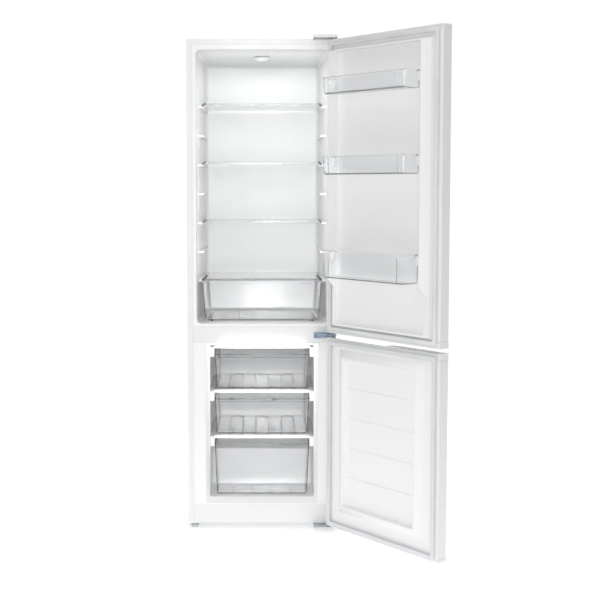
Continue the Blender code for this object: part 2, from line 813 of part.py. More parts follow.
def foot_pockets():
    """Room over the front feet's stems, as far as they can be screwed up."""
    depth = FOOT_DEPTH + 2 * FOOT_COLLAR_RADIUS
    pairs = []
    for side in (-1, 1):
        x = side * (HALF_WIDTH - FOOT_INSET)
        edges = (x - 2 * FOOT_STEM_RADIUS, x + 2 * FOOT_STEM_RADIUS)
        pairs.append(((edges[0], 0, 0), (edges[1], depth, FOOT_STEM_TOP + FOOT_PAD)))
    return boxes("foot_pockets", pairs)


def drain_pocket():
    """The way through the foam for the drain tube."""
    return cylinder(
        "drain_pocket",
        (DRAIN_X, drain_y(), 0),
        (DRAIN_X, drain_y(), BAY_TOP + 3 * DRAIN_RADIUS),
        DRAIN_RADIUS + GAP,
    )


def cold_plate_box(name, margin, material=None):
    """The fridge's cold plate behind the liner's back wall, grown by a margin."""
    half = FRIDGE_HALF - FRIDGE_DRAFT - COLD_PLATE_MARGIN + margin
    front = FRIDGE_BACK + LINER_WALL + GAP - margin
    back = FRIDGE_BACK + LINER_WALL + GAP + COLD_PLATE + margin
    low = CRISPER_COVER_Z + COLD_PLATE_MARGIN - margin
    high = FRIDGE_CEILING - CEILING_DRAFT - COLD_PLATE_MARGIN + margin
    return box(name, (-half, front, low), (half, back, high), material)


def cold_plate_pocket():
    """The pocket in the foam for the cold plate."""
    return cold_plate_box("cold_plate_pocket", GAP)


# ---------------------------------------------------------------- fridge compartment


def shelf(word, top, front):
    """A glass shelf on its ledges and the trim along its front edge."""
    low = top + GAP / 2
    glass = box(
        f"{word}_glass",
        (-SHELF_HALF_WIDTH, front + TRIM_LIP, low),
        (SHELF_HALF_WIDTH, SHELF_BACK, low + SHELF_GLASS),
        "glass",
    )
    middle = low + SHELF_GLASS / 2
    trim = box(
        f"{word}_trim",
        (-SHELF_HALF_WIDTH, front, middle - TRIM_HEIGHT / 2),
        (SHELF_HALF_WIDTH, front + TRIM_DEPTH, middle + TRIM_HEIGHT / 2),
        "white_plastic",
        radius=0.002,
    )
    groove = box(
        f"{word}_groove",
        (-CABINET_WIDTH, front + TRIM_LIP - GAP, low - GAP),
        (CABINET_WIDTH, CABINET_DEPTH, low + SHELF_GLASS + GAP),
    )
    cut(trim, groove)
    under = box(
        f"{word}_trim_relief",
        (-CABINET_WIDTH, SHELF_FRONT + LEDGE_MARGIN - GAP, 0),
        (CABINET_WIDTH, CABINET_DEPTH, low - GAP / 2),
    )
    cut(trim, under)
    return glass, trim


def crisper_drawer():
    """The clear vegetable drawer on its two runners, with a lip to pull it by."""
    low = FRIDGE_FLOOR + FLOOR_DRAFT + CRISPER_RUNNER
    high = low + CRISPER_HEIGHT
    back = FRIDGE_BACK - LINER_RADIUS
    top_rect = ((-CRISPER_HALF_WIDTH, CRISPER_HALF_WIDTH), (CRISPER_FRONT, back))
    drawer = open_bin("crisper_drawer", low, high, top_rect, CRISPER_DRAFT, CRISPER_RADIUS)
    lip = box(
        "crisper_lip",
        (-CRISPER_HALF_WIDTH + CRISPER_RADIUS, CRISPER_FRONT - CRISPER_LIP, high - CLEAR_WALL),
        (CRISPER_HALF_WIDTH - CRISPER_RADIUS, CRISPER_FRONT + CLEAR_WALL / 2, high),
    )
    runner_x = CRISPER_HALF_WIDTH - CRISPER_DRAFT - 2 * CRISPER_RADIUS
    runner_ends = (CRISPER_FRONT + 2 * CRISPER_RADIUS, back - 2 * CRISPER_RADIUS)
    pairs = []
    for side in (-1, 1):
        x = side * runner_x
        pairs.append(
            (
                (x - CRISPER_RUNNER, runner_ends[0], FRIDGE_FLOOR + FLOOR_DRAFT + GAP),
                (x + CRISPER_RUNNER, runner_ends[1], low + CLEAR_WALL / 2),
            )
        )
    return join(drawer, lip, boxes("crisper_runners", pairs))


def open_bin(name, low, high, top_rect, draft, radius, parent=None):
    """A clear open-topped bin that narrows towards its floor."""
    floor_rect = grown(top_rect, -draft)
    bin_shape = tub(name, 2, high, top_rect, low, floor_rect, radius, "clear_plastic", parent)
    slope = draft / (high - low)
    rise = radius
    over_rect = grown(top_rect, rise * slope - CLEAR_WALL)
    inside = tub(
        f"{name}_inside",
        2,
        high + rise,
        over_rect,
        low + CLEAR_WALL,
        grown(floor_rect, CLEAR_WALL * slope - CLEAR_WALL),
        radius - CLEAR_WALL,
        parent=parent,
    )
    return cut(bin_shape, inside)


def lamp_and_dial():
    """The lamp's lens on its stem under the ceiling, with the thermostat dial turning round it."""
    ceiling = fridge_rect(LAMP_DEPTH)[1][1] - LINER_WALL / 2
    centre = (0, LAMP_DEPTH, ceiling)
    lens_profile = [
        (0, 0),
        (LENS_STEM, 0),
        (LENS_STEM, -DIAL_HEIGHT - 2 * GAP),
        (LENS_RADIUS, -DIAL_HEIGHT - 2 * GAP),
        (LENS_RADIUS - LENS_BEVEL, -DIAL_HEIGHT - LENS_THICKNESS),
        (0, -DIAL_HEIGHT - LENS_THICKNESS - LENS_CROWN),
    ]
    turned("lamp_lens", lens_profile, centre, "lens", steps=24)
    bore = LENS_STEM + PIN_CLEARANCE
    dial_profile = [
        (bore, -GAP),
        (DIAL_RADIUS - DIAL_BEVEL, -GAP),
        (DIAL_RADIUS, -DIAL_HEIGHT / 3),
        (DIAL_RADIUS - DIAL_BEVEL, -DIAL_HEIGHT),
        (bore, -DIAL_HEIGHT),
        (bore, -GAP),
    ]
    turned("thermostat_dial", dial_profile, centre, "white_plastic", steps=32)


# ---------------------------------------------------------------- freezer compartment


def shelf_levels():
    """The top of each evaporator shelf, from the lowest."""
    lowest = FREEZER_FLOOR + BOTTOM_SPACE + SHELF_BAR
    middle = lowest + MIDDLE_SPACE + SHELF_BAR
    return lowest, middle, FREEZER_CEILING - GAP


def arm_inner():
    """The inner side of the arms that carry an evaporator shelf."""
    return FREEZER_HALF_WIDTH - GAP - SHELF_ARM


def evaporator_trim(word, top):
    """The white frame of an evaporator shelf: front bar, side arms and the blocks under their ends."""
    outer, inner = FREEZER_HALF_WIDTH - GAP, arm_inner()
    low = top - SHELF_BAR
    back = FREEZER_BACK - FREEZER_RADIUS - GAP
    front = SHELF_BAR_FRONT
    bar = box(
        f"evaporator_trim_{word}",
        (-inner - SHEET, front, low),
        (inner + SHEET, front + SHELF_BAR_DEPTH, top - TUBE_DROP),
        "white_plastic",
    )
    reach = front + SHELF_BAR_DEPTH / 4
    block_low = top - SHELF_BLOCK_HEIGHT
    for side in (-1, 1):
        edges = sorted((side * inner, side * outer))
        arm = box("shelf_arm", (edges[0], reach, low), (edges[1], back, top - ARM_DROP))
        block = box(
            "shelf_block",
            (edges[0], front + SHEET, block_low),
            (edges[1], front + SHELF_BLOCK_DEPTH, top - ARM_DROP),
        )
        join(bar, arm, block)
    return bar


def serpentine(rows, half_width, pitch, place):
    """Points of a flat serpentine; place turns (across, along) into a point. Its ends lie on one side."""
    points = []
    radius = pitch / 2
    for row in range(rows):
        forward = row % 2 == 0
        ends = (-half_width, half_width - radius) if forward else (half_width - radius, -half_width + radius)
        if row == rows - 1:
            ends = (ends[0], -half_width)
        if row and forward:
            ends = (-half_width + radius, ends[1])
        points.extend(place(across, row * pitch) for across in ends)
        if row < rows - 1:
            hand = 1 if forward else -1
            for step in (1, 2, 3):
                turn = math.pi * step / 4
                across = hand * (half_width - radius + radius * math.sin(turn))
                points.append(place(across, row * pitch + radius * (1 - math.cos(turn))))
    return points


def riser_y():
    """How far back the evaporator's risers stand."""
    return FREEZER_BACK - FREEZER_RADIUS - 2 * EVAPORATOR_TUBE


def freezer_evaporator():
    """One tube that lies in the three shelves and rises at the back from each to the next."""
    reach = arm_inner() - GAP - EVAPORATOR_TUBE
    front = SHELF_BAR_FRONT + SHELF_BAR_DEPTH + GAP + EVAPORATOR_TUBE
    back = riser_y()
    pitch = 2 * reach / (EVAPORATOR_RUNS - 1)
    middle, half = (front + back) / 2, (back - front) / 2
    points = []
    for index, top in enumerate(shelf_levels()):
        height = top - EVAPORATOR_TUBE - TUBE_DROP
        hand = 1 if index % 2 == 0 else -1
        points += serpentine(
            EVAPORATOR_RUNS,
            half,
            pitch,
            lambda across, along: (hand * (along - reach), middle - across, height),
        )
    return tube("freezer_evaporator", points, EVAPORATOR_TUBE, "galvanised")


def freezer_drawer(word, floor, ceiling, depth):
    """A clear freezer drawer with a pull lip along its front edge."""
    low, high = floor + GAP, ceiling - DRAWER_HEAD_ROOM
    half = arm_inner() - 2 * GAP
    drawer = open_bin(
        f"freezer_drawer_{word}",
        low,
        high,
        ((-half, half), (DRAWER_FRONT, depth)),
        DRAWER_DRAFT,
        DRAWER_RADIUS,
    )
    lip = box(
        "drawer_lip",
        (-half + DRAWER_RADIUS, DRAWER_FRONT - DRAWER_LIP, high - CLEAR_WALL),
        (half - DRAWER_RADIUS, DRAWER_FRONT + CLEAR_WALL / 2, high),
    )
    return join(drawer, lip)


def freezer_drawers():
    """Two deep drawers over the evaporator shelves and a shallow one in front of the step."""
    lowest, middle, top = shelf_levels()
    full = riser_y() - EVAPORATOR_TUBE - DRAWER_BACK_GAP
    freezer_drawer("bottom", FREEZER_FLOOR, lowest - SHELF_BAR, STEP_DEPTH - FREEZER_RADIUS)
    freezer_drawer("middle", lowest - TUBE_DROP, middle - SHELF_BAR, full)
    freezer_drawer("top", middle - TUBE_DROP, top - SHELF_BAR, full)


# ---------------------------------------------------------------- doors


def door_empty(name):
    """An empty on the hinge axis that turns a closed door open."""
    pivot = bpy.data.objects.new(name, None)
    PARTS.objects.link(pivot)
    pivot.parent = ORIGIN
    pivot.location = (AXIS_X, AXIS_Y, 0)
    pivot.rotation_euler = (0, 0, OPEN_ANGLE)
    return pivot


def door_skin(name, low, high, pivot):
    """The steel outer panel: a face with both sides folded back."""
    back = HINGE_FROM_INNER_FACE - LINER_WALL - GAP
    bm = bmesh.new()
    plain_box(bm, (DOOR_FREE_X, DOOR_OUTER_Y, low), (HINGE_INSET, back, high))
    corners = [
        edge
        for edge in bm.edges
        if all(abs(v.co.y - DOOR_OUTER_Y) < GAP for v in edge.verts)
        and abs(edge.verts[0].co.z - edge.verts[1].co.z) > GAP
    ]
    bmesh.ops.bevel(bm, geom=corners, offset=DOOR_EDGE_RADIUS, segments=3, profile=0.5, affect="EDGES")
    skin = from_bmesh(name, bm, "enamel", pivot)
    inside = box(
        f"{name}_inside",
        (DOOR_FREE_X + SHEET, DOOR_OUTER_Y + SHEET, low - SHEET),
        (HINGE_INSET - SHEET, DOOR_THICKNESS, high + SHEET),
        parent=pivot,
    )
    return cut(skin, inside)


def door_cap(name, low, high, pivot, bore_from_top, bore_depth, grip=False):
    """A plastic end cap with the hinge pin's bore, and a finger recess where the door is pulled."""
    cap = box(
        name,
        (DOOR_FREE_X, DOOR_OUTER_Y, low),
        (HINGE_INSET, HINGE_FROM_INNER_FACE, high),
        "white_plastic",
        pivot,
        radius=CAP_EDGE_RADIUS,
    )
    bore_ends = (high - bore_depth, high + SHEET) if bore_from_top else (low - SHEET, low + bore_depth)
    bore = cylinder(
        f"{name}_bore", (0, 0, bore_ends[0]), (0, 0, bore_ends[1]), PIN_RADIUS + PIN_CLEARANCE, parent=pivot, sides=16
    )
    cut(cap, bore)
    if grip:
        outward = 1 if bore_from_top else -1
        surface = high if bore_from_top else low
        start = DOOR_FREE_X + GRIP_INSET
        wide = ((start, start + GRIP_LENGTH), (DOOR_OUTER_Y + GRIP_WALL, HINGE_FROM_INNER_FACE - GRIP_WALL))
        recess = tub(
            f"{name}_grip",
            2,
            surface + outward * SHEET,
            wide,
            surface - outward * GRIP_DEPTH,
            grown(wide, -GRIP_DRAFT),
            GRIP_RADIUS,
            parent=pivot,
        )
        cut(cap, recess)
    return cap


def door_seal(name, low, high, pivot):
    """The magnetic seal, a frame round the door's inner face."""
    left, right = DOOR_FREE_X + SEAL_INSET, HINGE_INSET - SEAL_MARGIN
    front = HINGE_FROM_INNER_FACE + GAP
    back = front + SEAL_THICKNESS
    bottom, top = low + SEAL_INSET, high - SEAL_INSET
    seal = box(name, (left, front, bottom), (right, back, top), "seal", pivot)
    inside = box(
        f"{name}_inside",
        (left + SEAL_WIDTH, 0, bottom + SEAL_WIDTH),
        (right - SEAL_WIDTH, DOOR_THICKNESS, top - SEAL_WIDTH),
        parent=pivot,
    )
    return cut(seal, inside)


def seal_inner_edges():
    """Where the seal's inner edges stand across the door, free side first."""
    return DOOR_FREE_X + SEAL_INSET + SEAL_WIDTH, HINGE_INSET - SEAL_MARGIN - SEAL_WIDTH


def dike_frame(name, outer, low, high, height, slope, recess, inset, floor, pivot):
    """A raised frame on a door liner, its walls drawn in by an inset, standing on a floor plane."""
    face = HINGE_FROM_INNER_FACE
    top = face + height - inset
    spread = slope * (top - floor) / height
    top_rect = grown((outer, (low, high)), -slope - inset)
    frame = tub(name, 1, floor, grown(top_rect, spread), top, top_rect, 0, parent=pivot)
    above = top + height
    recess_rect = grown(recess, inset)
    hole = tub(f"{name}_recess", 1, floor - SHEET, recess_rect, above, recess_rect, 0, parent=pivot)
    return cut(frame, hole)


def mesh_of(item):
    """Applies a helper's modifiers, so that it can be joined as one plain shape."""
    bpy.context.view_layer.update()
    mesh = bpy.data.meshes.new_from_object(item.evaluated_get(bpy.context.evaluated_depsgraph_get()))
    item.modifiers.clear()
    item.data = mesh
    return item


def fridge_dikes(name, inset, floor, pivot):
    """The fridge door's frame with its two tall ridges, drawn in by an inset."""
    low, high = FRIDGE_DOOR_BOTTOM + DIKE_MARGIN_LOW, FRIDGE_DOOR_TOP - DIKE_MARGIN_HIGH
    outer = (DOOR_FREE_X + DIKE_INSET, HINGE_INSET - DIKE_INSET)
    recess = ((outer[0] + FREE_DIKE_BASE, outer[1] - DIKE_BASE), (low + DIKE_LOW, high - DIKE_LOW))
    frame = dike_frame(name, outer, low, high, DIKE_LOW, DIKE_SLOPE, recess, inset, floor, pivot)
    top = HINGE_FROM_INNER_FACE + DIKE_HIGH - inset
    start = FRIDGE_DOOR_BOTTOM + RIDGE_START
    low_z = (start + inset, high - DIKE_SLOPE - inset)
    high_z = (start + RIDGE_RAMP + inset, high - 2 * DIKE_SLOPE - inset)
    hinge_foot = (recess[0][1] + inset, outer[1] - DIKE_SLOPE / 4 - inset)
    hinge_crest = (recess[0][1] + inset, recess[0][1] + RIDGE_WIDTH - inset)
    free_foot = (outer[0] + DIKE_SLOPE / 4 + inset, recess[0][0] - inset)
    free_crest = (recess[0][0] - RIDGE_WIDTH + inset, recess[0][0] - inset)
    for word, foot, tip in (("hinge", hinge_foot, hinge_crest), ("free", free_foot, free_crest)):
        ridge = tub(f"{name}_{word}", 1, floor + GAP, (foot, low_z), top, (tip, high_z), 0, parent=pivot)
        join(frame, ridge)
    return mesh_of(frame)


def freezer_dikes(name, inset, floor, pivot):
    """The freezer door's raised frame, drawn in by an inset."""
    low, high = DOOR_FLOOR_GAP + FREEZER_DIKE_MARGIN_LOW, FREEZER_DOOR_TOP - FREEZER_DIKE_MARGIN_HIGH
    outer = (DOOR_FREE_X + FREEZER_DIKE_INSET, HINGE_INSET - FREEZER_DIKE_INSET)
    wide = FREEZER_DIKE_SLOPE + FREEZER_DIKE_TOP
    recess = ((outer[0] + wide, outer[1] - wide), (low + wide, high - wide))
    frame = dike_frame(
        name, outer, low, high, FREEZER_DIKE, FREEZER_DIKE_SLOPE, recess, inset, floor, pivot
    )
    return mesh_of(frame)


def door_liner(name, low, high, dikes, pivot):
    """A door's formed inner panel: a sheet with hollow raised frames."""
    face = HINGE_FROM_INNER_FACE
    liner = box(name, (DOOR_FREE_X, face - LINER_WALL, low), (HINGE_INSET, face, high), "liner", pivot)
    join(liner, dikes(f"{name}_dikes", 0, face - LINER_WALL / 2, pivot))
    return cut(liner, dikes(f"{name}_hollow", LINER_WALL, face - 2 * LINER_WALL, pivot))


def door_insulation(name, low, high, dikes, pivot):
    """The foam between a door's skin and its liner, up into the hollow frames."""
    back = HINGE_FROM_INNER_FACE - LINER_WALL - GAP
    foam = box(
        name,
        (DOOR_FREE_X + SHEET + GAP, DOOR_OUTER_Y + SHEET + GAP, low),
        (HINGE_INSET - SHEET - GAP, back, high),
        "foam",
        pivot,
    )
    return join(foam, dikes(f"{name}_dikes", LINER_WALL + GAP, back - LINER_WALL, pivot))


def balcony_places():
    """The floor and height of each door balcony, from the lowest."""
    lowest = FRIDGE_DOOR_BOTTOM + BALCONY_BOTTOM_INSET
    highest = FRIDGE_DOOR_TOP - BALCONY_TOP_INSET
    middle = lowest + BALCONY_MIDDLE_PLACE * (highest - lowest)
    return tuple(zip(("bottom", "middle", "top"), (lowest, middle, highest), BALCONY_HEIGHTS))


def boss_span():
    """How far the balconies' bosses reach out from the door's inner face."""
    start = HINGE_FROM_INNER_FACE + BALCONY_BACK
    return start, start + BOSS_DEPTH


def balcony_bosses(pivot):
    """Bosses on both ridges, which the balconies' hooks drop over."""
    bosses = bmesh.new()
    near, far = boss_span()
    inner_hinge = -(BALCONY_HINGE_END - GAP)
    inner_free = -(BALCONY_FREE_END + GAP)
    ridge_hinge = HINGE_INSET - DIKE_INSET - DIKE_BASE + LINER_WALL / 2
    ridge_free = DOOR_FREE_X + DIKE_INSET + FREE_DIKE_BASE - LINER_WALL / 2
    for _, floor, height in balcony_places():
        high = floor + height - HOOK_THICKNESS - GAP
        plain_box(bosses, (inner_hinge, near, high - BOSS_HEIGHT), (ridge_hinge, far, high))
        plain_box(bosses, (ridge_free, near, high - BOSS_HEIGHT), (inner_free, far, high))
    return from_bmesh("balcony_bosses", bosses, parent=pivot)


def balcony(word, floor, height, pivot):
    """A clear door balcony with a hook at each end over its boss."""
    near = HINGE_FROM_INNER_FACE + BALCONY_BACK
    front = HINGE_FROM_INNER_FACE + BALCONY_REACH
    high = floor + height
    rect = ((-BALCONY_FREE_END, -BALCONY_HINGE_END), (near, front))
    bin_shape = open_bin(f"balcony_{word}", floor, high, rect, 0.003, 0.008, pivot)
    boss_near, boss_far = boss_span()
    hooks = []
    for edge, hand in ((-BALCONY_HINGE_END, 1), (-BALCONY_FREE_END, -1)):
        edges = sorted((edge - hand * CLEAR_WALL / 2, edge + hand * HOOK_THICKNESS))
        hooks.append(
            ((edges[0], boss_near + 2 * BALCONY_BACK, high - HOOK_THICKNESS), (edges[1], boss_far, high - GAP))
        )
    return join(bin_shape, boxes(f"balcony_{word}_hooks", hooks, parent=pivot))


def fridge_door():
    """The upper door with its balconies."""
    pivot = door_empty("fridge_door_axis")
    low, high = FRIDGE_DOOR_BOTTOM, FRIDGE_DOOR_TOP
    inner_low, inner_high = low + INNER_CAP + GAP, high - OUTER_CAP - GAP
    door_skin("fridge_door_skin", inner_low, inner_high, pivot)
    liner = door_liner("fridge_door_liner", inner_low, inner_high, fridge_dikes, pivot)
    join(liner, balcony_bosses(pivot))
    door_insulation("fridge_door_insulation", inner_low, inner_high, fridge_dikes, pivot)
    door_cap("fridge_door_bottom_cap", low, low + INNER_CAP, pivot, False, PIN_INTO_INNER_CAP + GAP, grip=True)
    door_cap("fridge_door_top_cap", high - OUTER_CAP, high, pivot, True, PIN_INTO_OUTER_CAP + GAP)
    door_seal("fridge_door_seal", low, high, pivot)
    for word, floor, height in balcony_places():
        balcony(word, floor, height, pivot)


def freezer_door():
    """The lower door."""
    pivot = door_empty("freezer_door_axis")
    low, high = DOOR_FLOOR_GAP, FREEZER_DOOR_TOP
    inner_low, inner_high = low + OUTER_CAP + GAP, high - INNER_CAP - GAP
    door_skin("freezer_door_skin", inner_low, inner_high, pivot)
    door_liner("freezer_door_liner", inner_low, inner_high, freezer_dikes, pivot)
    door_insulation("freezer_door_insulation", inner_low, inner_high, freezer_dikes, pivot)
    door_cap("freezer_door_bottom_cap", low, low + OUTER_CAP, pivot, False, PIN_INTO_OUTER_CAP + GAP)
    door_cap("freezer_door_top_cap", high - INNER_CAP, high, pivot, True, PIN_INTO_INNER_CAP + GAP, grip=True)
    door_seal("freezer_door_seal", low, high, pivot)


# ---------------------------------------------------------------- hinges


def hinge_pin(name, start, end):
    """A hinge pin on the doors' axis."""
    return cylinder(name, (AXIS_X, AXIS_Y, start), (AXIS_X, AXIS_Y, end), PIN_RADIUS, sides=16)


def bracket_corners(back, low, high):
    """A bracket plate from the hinge axis back over or under the cabinet."""
    left = AXIS_X - BRACKET_INNER_REACH
    right = AXIS_X + BRACKET_NOSE
    return (left, AXIS_Y - BRACKET_NOSE, low), (right, back, high)


def top_hinge():
    """The top bracket on the cabinet's roof, its pin pointing down into the upper door."""
    low = CABINET_HEIGHT + GAP
    corners = bracket_corners(TOP_BRACKET_BACK, low, low + BRACKET_SHEET)
    bracket = box("top_hinge", *corners, "zinc")
    return join(bracket, hinge_pin("top_pin", FRIDGE_DOOR_TOP - PIN_INTO_OUTER_CAP, low + BRACKET_SHEET / 2))


def top_hinge_cover():
    """The plastic cover over the top bracket, open underneath."""
    low, high = bracket_corners(TOP_BRACKET_BACK, CABINET_HEIGHT + GAP, CABINET_HEIGHT + COVER_HEIGHT)
    margin = COVER_MARGIN
    outer_low = (low[0] - margin, low[1] - margin / 2, low[2])
    outer_high = (high[0], high[1] + margin, high[2])
    bm = bmesh.new()
    plain_box(bm, (outer_low[0], outer_low[1], outer_low[2]), (outer_high[0] + GAP, outer_high[1], outer_high[2]))
    round_edges(bm, COVER_HEIGHT / 3, 2, 2, outer_low[2])
    cover = from_bmesh("top_hinge_cover", bm, "white_plastic")
    inside = box(
        "cover_inside",
        (outer_low[0] + COVER_WALL, outer_low[1] + COVER_WALL, 0),
        (outer_high[0] + 2 * GAP + CABINET_WIDTH, outer_high[1] - COVER_WALL, high[2] - COVER_WALL),
    )
    return cut(cover, inside)


def middle_hinge():
    """The middle bracket screwed to the rail, its pins pointing up and down between the doors."""
    middle = MULLION
    left = AXIS_X - BRACKET_INNER_REACH
    right = AXIS_X - HINGE_INSET + BRACKET_SHEET
    rail_front = -GAP
    low = middle - DOOR_GAP / 2 - MIDDLE_BRACKET_DROP
    bracket = box(
        "middle_hinge", (left, rail_front - BRACKET_SHEET, low), (right, rail_front, middle + DOOR_GAP / 3), "zinc"
    )
    nose = box(
        "middle_nose",
        (left + BRACKET_NOSE, AXIS_Y - BRACKET_NOSE, middle - BRACKET_SHEET / 2),
        (AXIS_X + BRACKET_NOSE, rail_front - BRACKET_SHEET / 2, middle + BRACKET_SHEET / 2),
    )
    pin = hinge_pin(
        "middle_pin",
        FREEZER_DOOR_TOP - PIN_INTO_INNER_CAP,
        FRIDGE_DOOR_BOTTOM + PIN_INTO_INNER_CAP,
    )
    return join(bracket, nose, pin)


def bottom_hinge():
    """The bottom bracket under the base plate, its pin pointing up into the lower door."""
    high = BASE_HEIGHT - GAP
    low = high - BRACKET_SHEET
    bracket = box("bottom_hinge", *bracket_corners(BOTTOM_BRACKET_BACK, low, high), "zinc")
    join(bracket, hinge_pin("bottom_pin", high - BRACKET_SHEET / 2, DOOR_FLOOR_GAP + PIN_INTO_OUTER_CAP))
    x = HALF_WIDTH - FOOT_INSET
    hole = cylinder("bracket_hole", (x, FOOT_DEPTH, 0), (x, FOOT_DEPTH, high + SHEET), FOOT_STEM_RADIUS + PIN_CLEARANCE)
    return cut(bracket, hole)


# ---------------------------------------------------------------- refrigerating machine


def compressor_floor():
    """The underside of the compressor's mounting plate."""
    return BASE_HEIGHT + SHEET + GAP + GROMMET_HEIGHT


def bay_middle():
    """How far back the middle of the machine bay lies."""
    return (BAY_FRONT + SHEET + CABINET_DEPTH) / 2


def compressor_mount():
    """The compressor's plate on four rubber feet."""
    low = compressor_floor()
    y = bay_middle()
    plate = box(
        "compressor_mount",
        (COMPRESSOR_X - MOUNT_HALF_LENGTH, y - MOUNT_HALF_DEPTH, low),
        (COMPRESSOR_X + MOUNT_HALF_LENGTH, y + MOUNT_HALF_DEPTH, low + MOUNT_SHEET),
        "black_enamel",
    )
    for side in (-1, 1):
        for end in (-1, 1):
            x = COMPRESSOR_X + side * (MOUNT_HALF_LENGTH - GROMMET_RADIUS - MOUNT_SHEET)
            foot_y = y + end * (MOUNT_HALF_DEPTH - GROMMET_RADIUS - MOUNT_SHEET)
            top = (x, foot_y, low + MOUNT_SHEET / 2)
            join(plate, cylinder("grommet", (x, foot_y, BASE_HEIGHT + SHEET + GAP), top, GROMMET_RADIUS, sides=16))
    return plate


def compressor():
    """The sealed compressor: a deep-drawn pot with a welded belt round its middle."""
    low = compressor_floor() + MOUNT_SHEET + GAP
    radius, height, belt = COMPRESSOR_RADIUS, COMPRESSOR_HEIGHT, COMPRESSOR_BELT
    wall = radius - belt
    waist = height / 2
    shoulder = waist + belt
    profile = [(0, height), (CROWN_RADIUS, height)]
    for step in range(1, CROWN_STEPS):
        turn = math.pi / 2 * step / CROWN_STEPS
        across = CROWN_RADIUS + (wall - CROWN_RADIUS) * math.sin(turn)
        profile.append((across, shoulder + (height - shoulder) * math.cos(turn)))
    profile += [
        (wall, shoulder),
        (radius, shoulder),
        (radius, waist),
        (wall, waist),
        (wall - belt / 2, waist / 3),
        (wall - 4 * belt, belt),
        (radius / 2, 0),
        (0, 0),
    ]
    return turned("compressor", profile, (COMPRESSOR_X, bay_middle(), low), "black_enamel", steps=32)


def compressor_top():
    """The height of the compressor's crown."""
    return compressor_floor() + MOUNT_SHEET + GAP + COMPRESSOR_HEIGHT


def evaporation_tray():
    """The tray on the compressor's crown where melt water dries off."""
    low = compressor_top() + GAP
    y = bay_middle()
    left, right = DRAIN_X - 2 * DRAIN_RADIUS, COMPRESSOR_X + TRAY_HALF_WIDTH
    rect = ((left, right), (y - TRAY_HALF_WIDTH, y + TRAY_HALF_WIDTH))
    tray = tub("evaporation_tray", 2, low + TRAY_HEIGHT, rect, low, grown(rect, -TRAY_DRAFT), TRAY_RADIUS, "grey_plastic")
    inside_rect = grown(rect, -TRAY_WALL)
    inside_floor = grown(inside_rect, -TRAY_DRAFT - TRAY_WALL)
    inside = tub(
        "tray_inside", 2, low + 2 * TRAY_HEIGHT, inside_rect, low + TRAY_WALL, inside_floor, TRAY_RADIUS - TRAY_WALL
    )
    return cut(tray, inside)


def terminal_box():
    """The relay cover on the compressor's side, with the gland that the supply lead enters by."""
    y = bay_middle()
    x = COMPRESSOR_X + COMPRESSOR_RADIUS + GAP
    low = compressor_floor() + MOUNT_SHEET + TERMINAL_LIFT
    back = y + TERMINAL_HALF_WIDTH
    cover = box(
        "terminal_box",
        (x, y - TERMINAL_HALF_WIDTH, low),
        (x + TERMINAL_REACH, back, low + TERMINAL_HEIGHT),
        "black_plastic",
        radius=TERMINAL_RADIUS,
    )
    gland_x, gland_z = x + TERMINAL_REACH / 2, low + TERMINAL_HEIGHT / 3
    gland_end = back + GLAND_REACH
    gland = cylinder("power_gland", (gland_x, y, gland_z), (gland_x, gland_end, gland_z), GLAND_RADIUS)
    bore = cylinder("gland_bore", (gland_x, back, gland_z), (gland_x, gland_end + SHEET, gland_z), GLAND_BORE)
    return cut(join(cover, gland), bore)


def condenser_y():
    """The depth of the condenser's middle plane, behind the back panel."""
    return CABINET_DEPTH + CONDENSER_STANDOFF


def condenser():
    """The black tube grid on the cabinet's back, on two straps with feet on the back panel."""
    top = CABINET_HEIGHT - CONDENSER_TOP_INSET
    pitch = (top - CONDENSER_BOTTOM) / (CONDENSER_RUNS - 1)
    y = condenser_y()
    points = serpentine(
        CONDENSER_RUNS,
        CONDENSER_HALF_WIDTH,
        pitch,
        lambda across, along: (across, y, CONDENSER_BOTTOM + along),
    )
    left, bend = -CONDENSER_HALF_WIDTH - CONDENSER_BEND, CONDENSER_BEND
    points = [(left, y, CONDENSER_BOTTOM - CONDENSER_LEAD), (left, y, CONDENSER_BOTTOM - bend)] + points
    grid = as_mesh(tube("condenser", points, CONDENSER_TUBE, "black_enamel"))
    for side in (-1, 1):
        edges = (side * STRAP_X - STRAP_WIDTH / 2, side * STRAP_X + STRAP_WIDTH / 2)
        strap = box(
            "strap",
            (edges[0], y - CONDENSER_TUBE / 3, CONDENSER_BOTTOM - STRAP_WIDTH),
            (edges[1], y + CONDENSER_TUBE / 3, top + STRAP_WIDTH),
        )
        join(grid, strap)
        for height in (CONDENSER_BOTTOM + pitch / 2, top - pitch / 2):
            foot = box(
                "strap_foot",
                (edges[0] + SHEET, BACK_PANEL_Y + SHEET + GAP, height - STRAP_WIDTH / 2),
                (edges[1] - SHEET, y + CONDENSER_TUBE / 4, height + STRAP_WIDTH / 2),
            )
            join(grid, foot)
    return grid


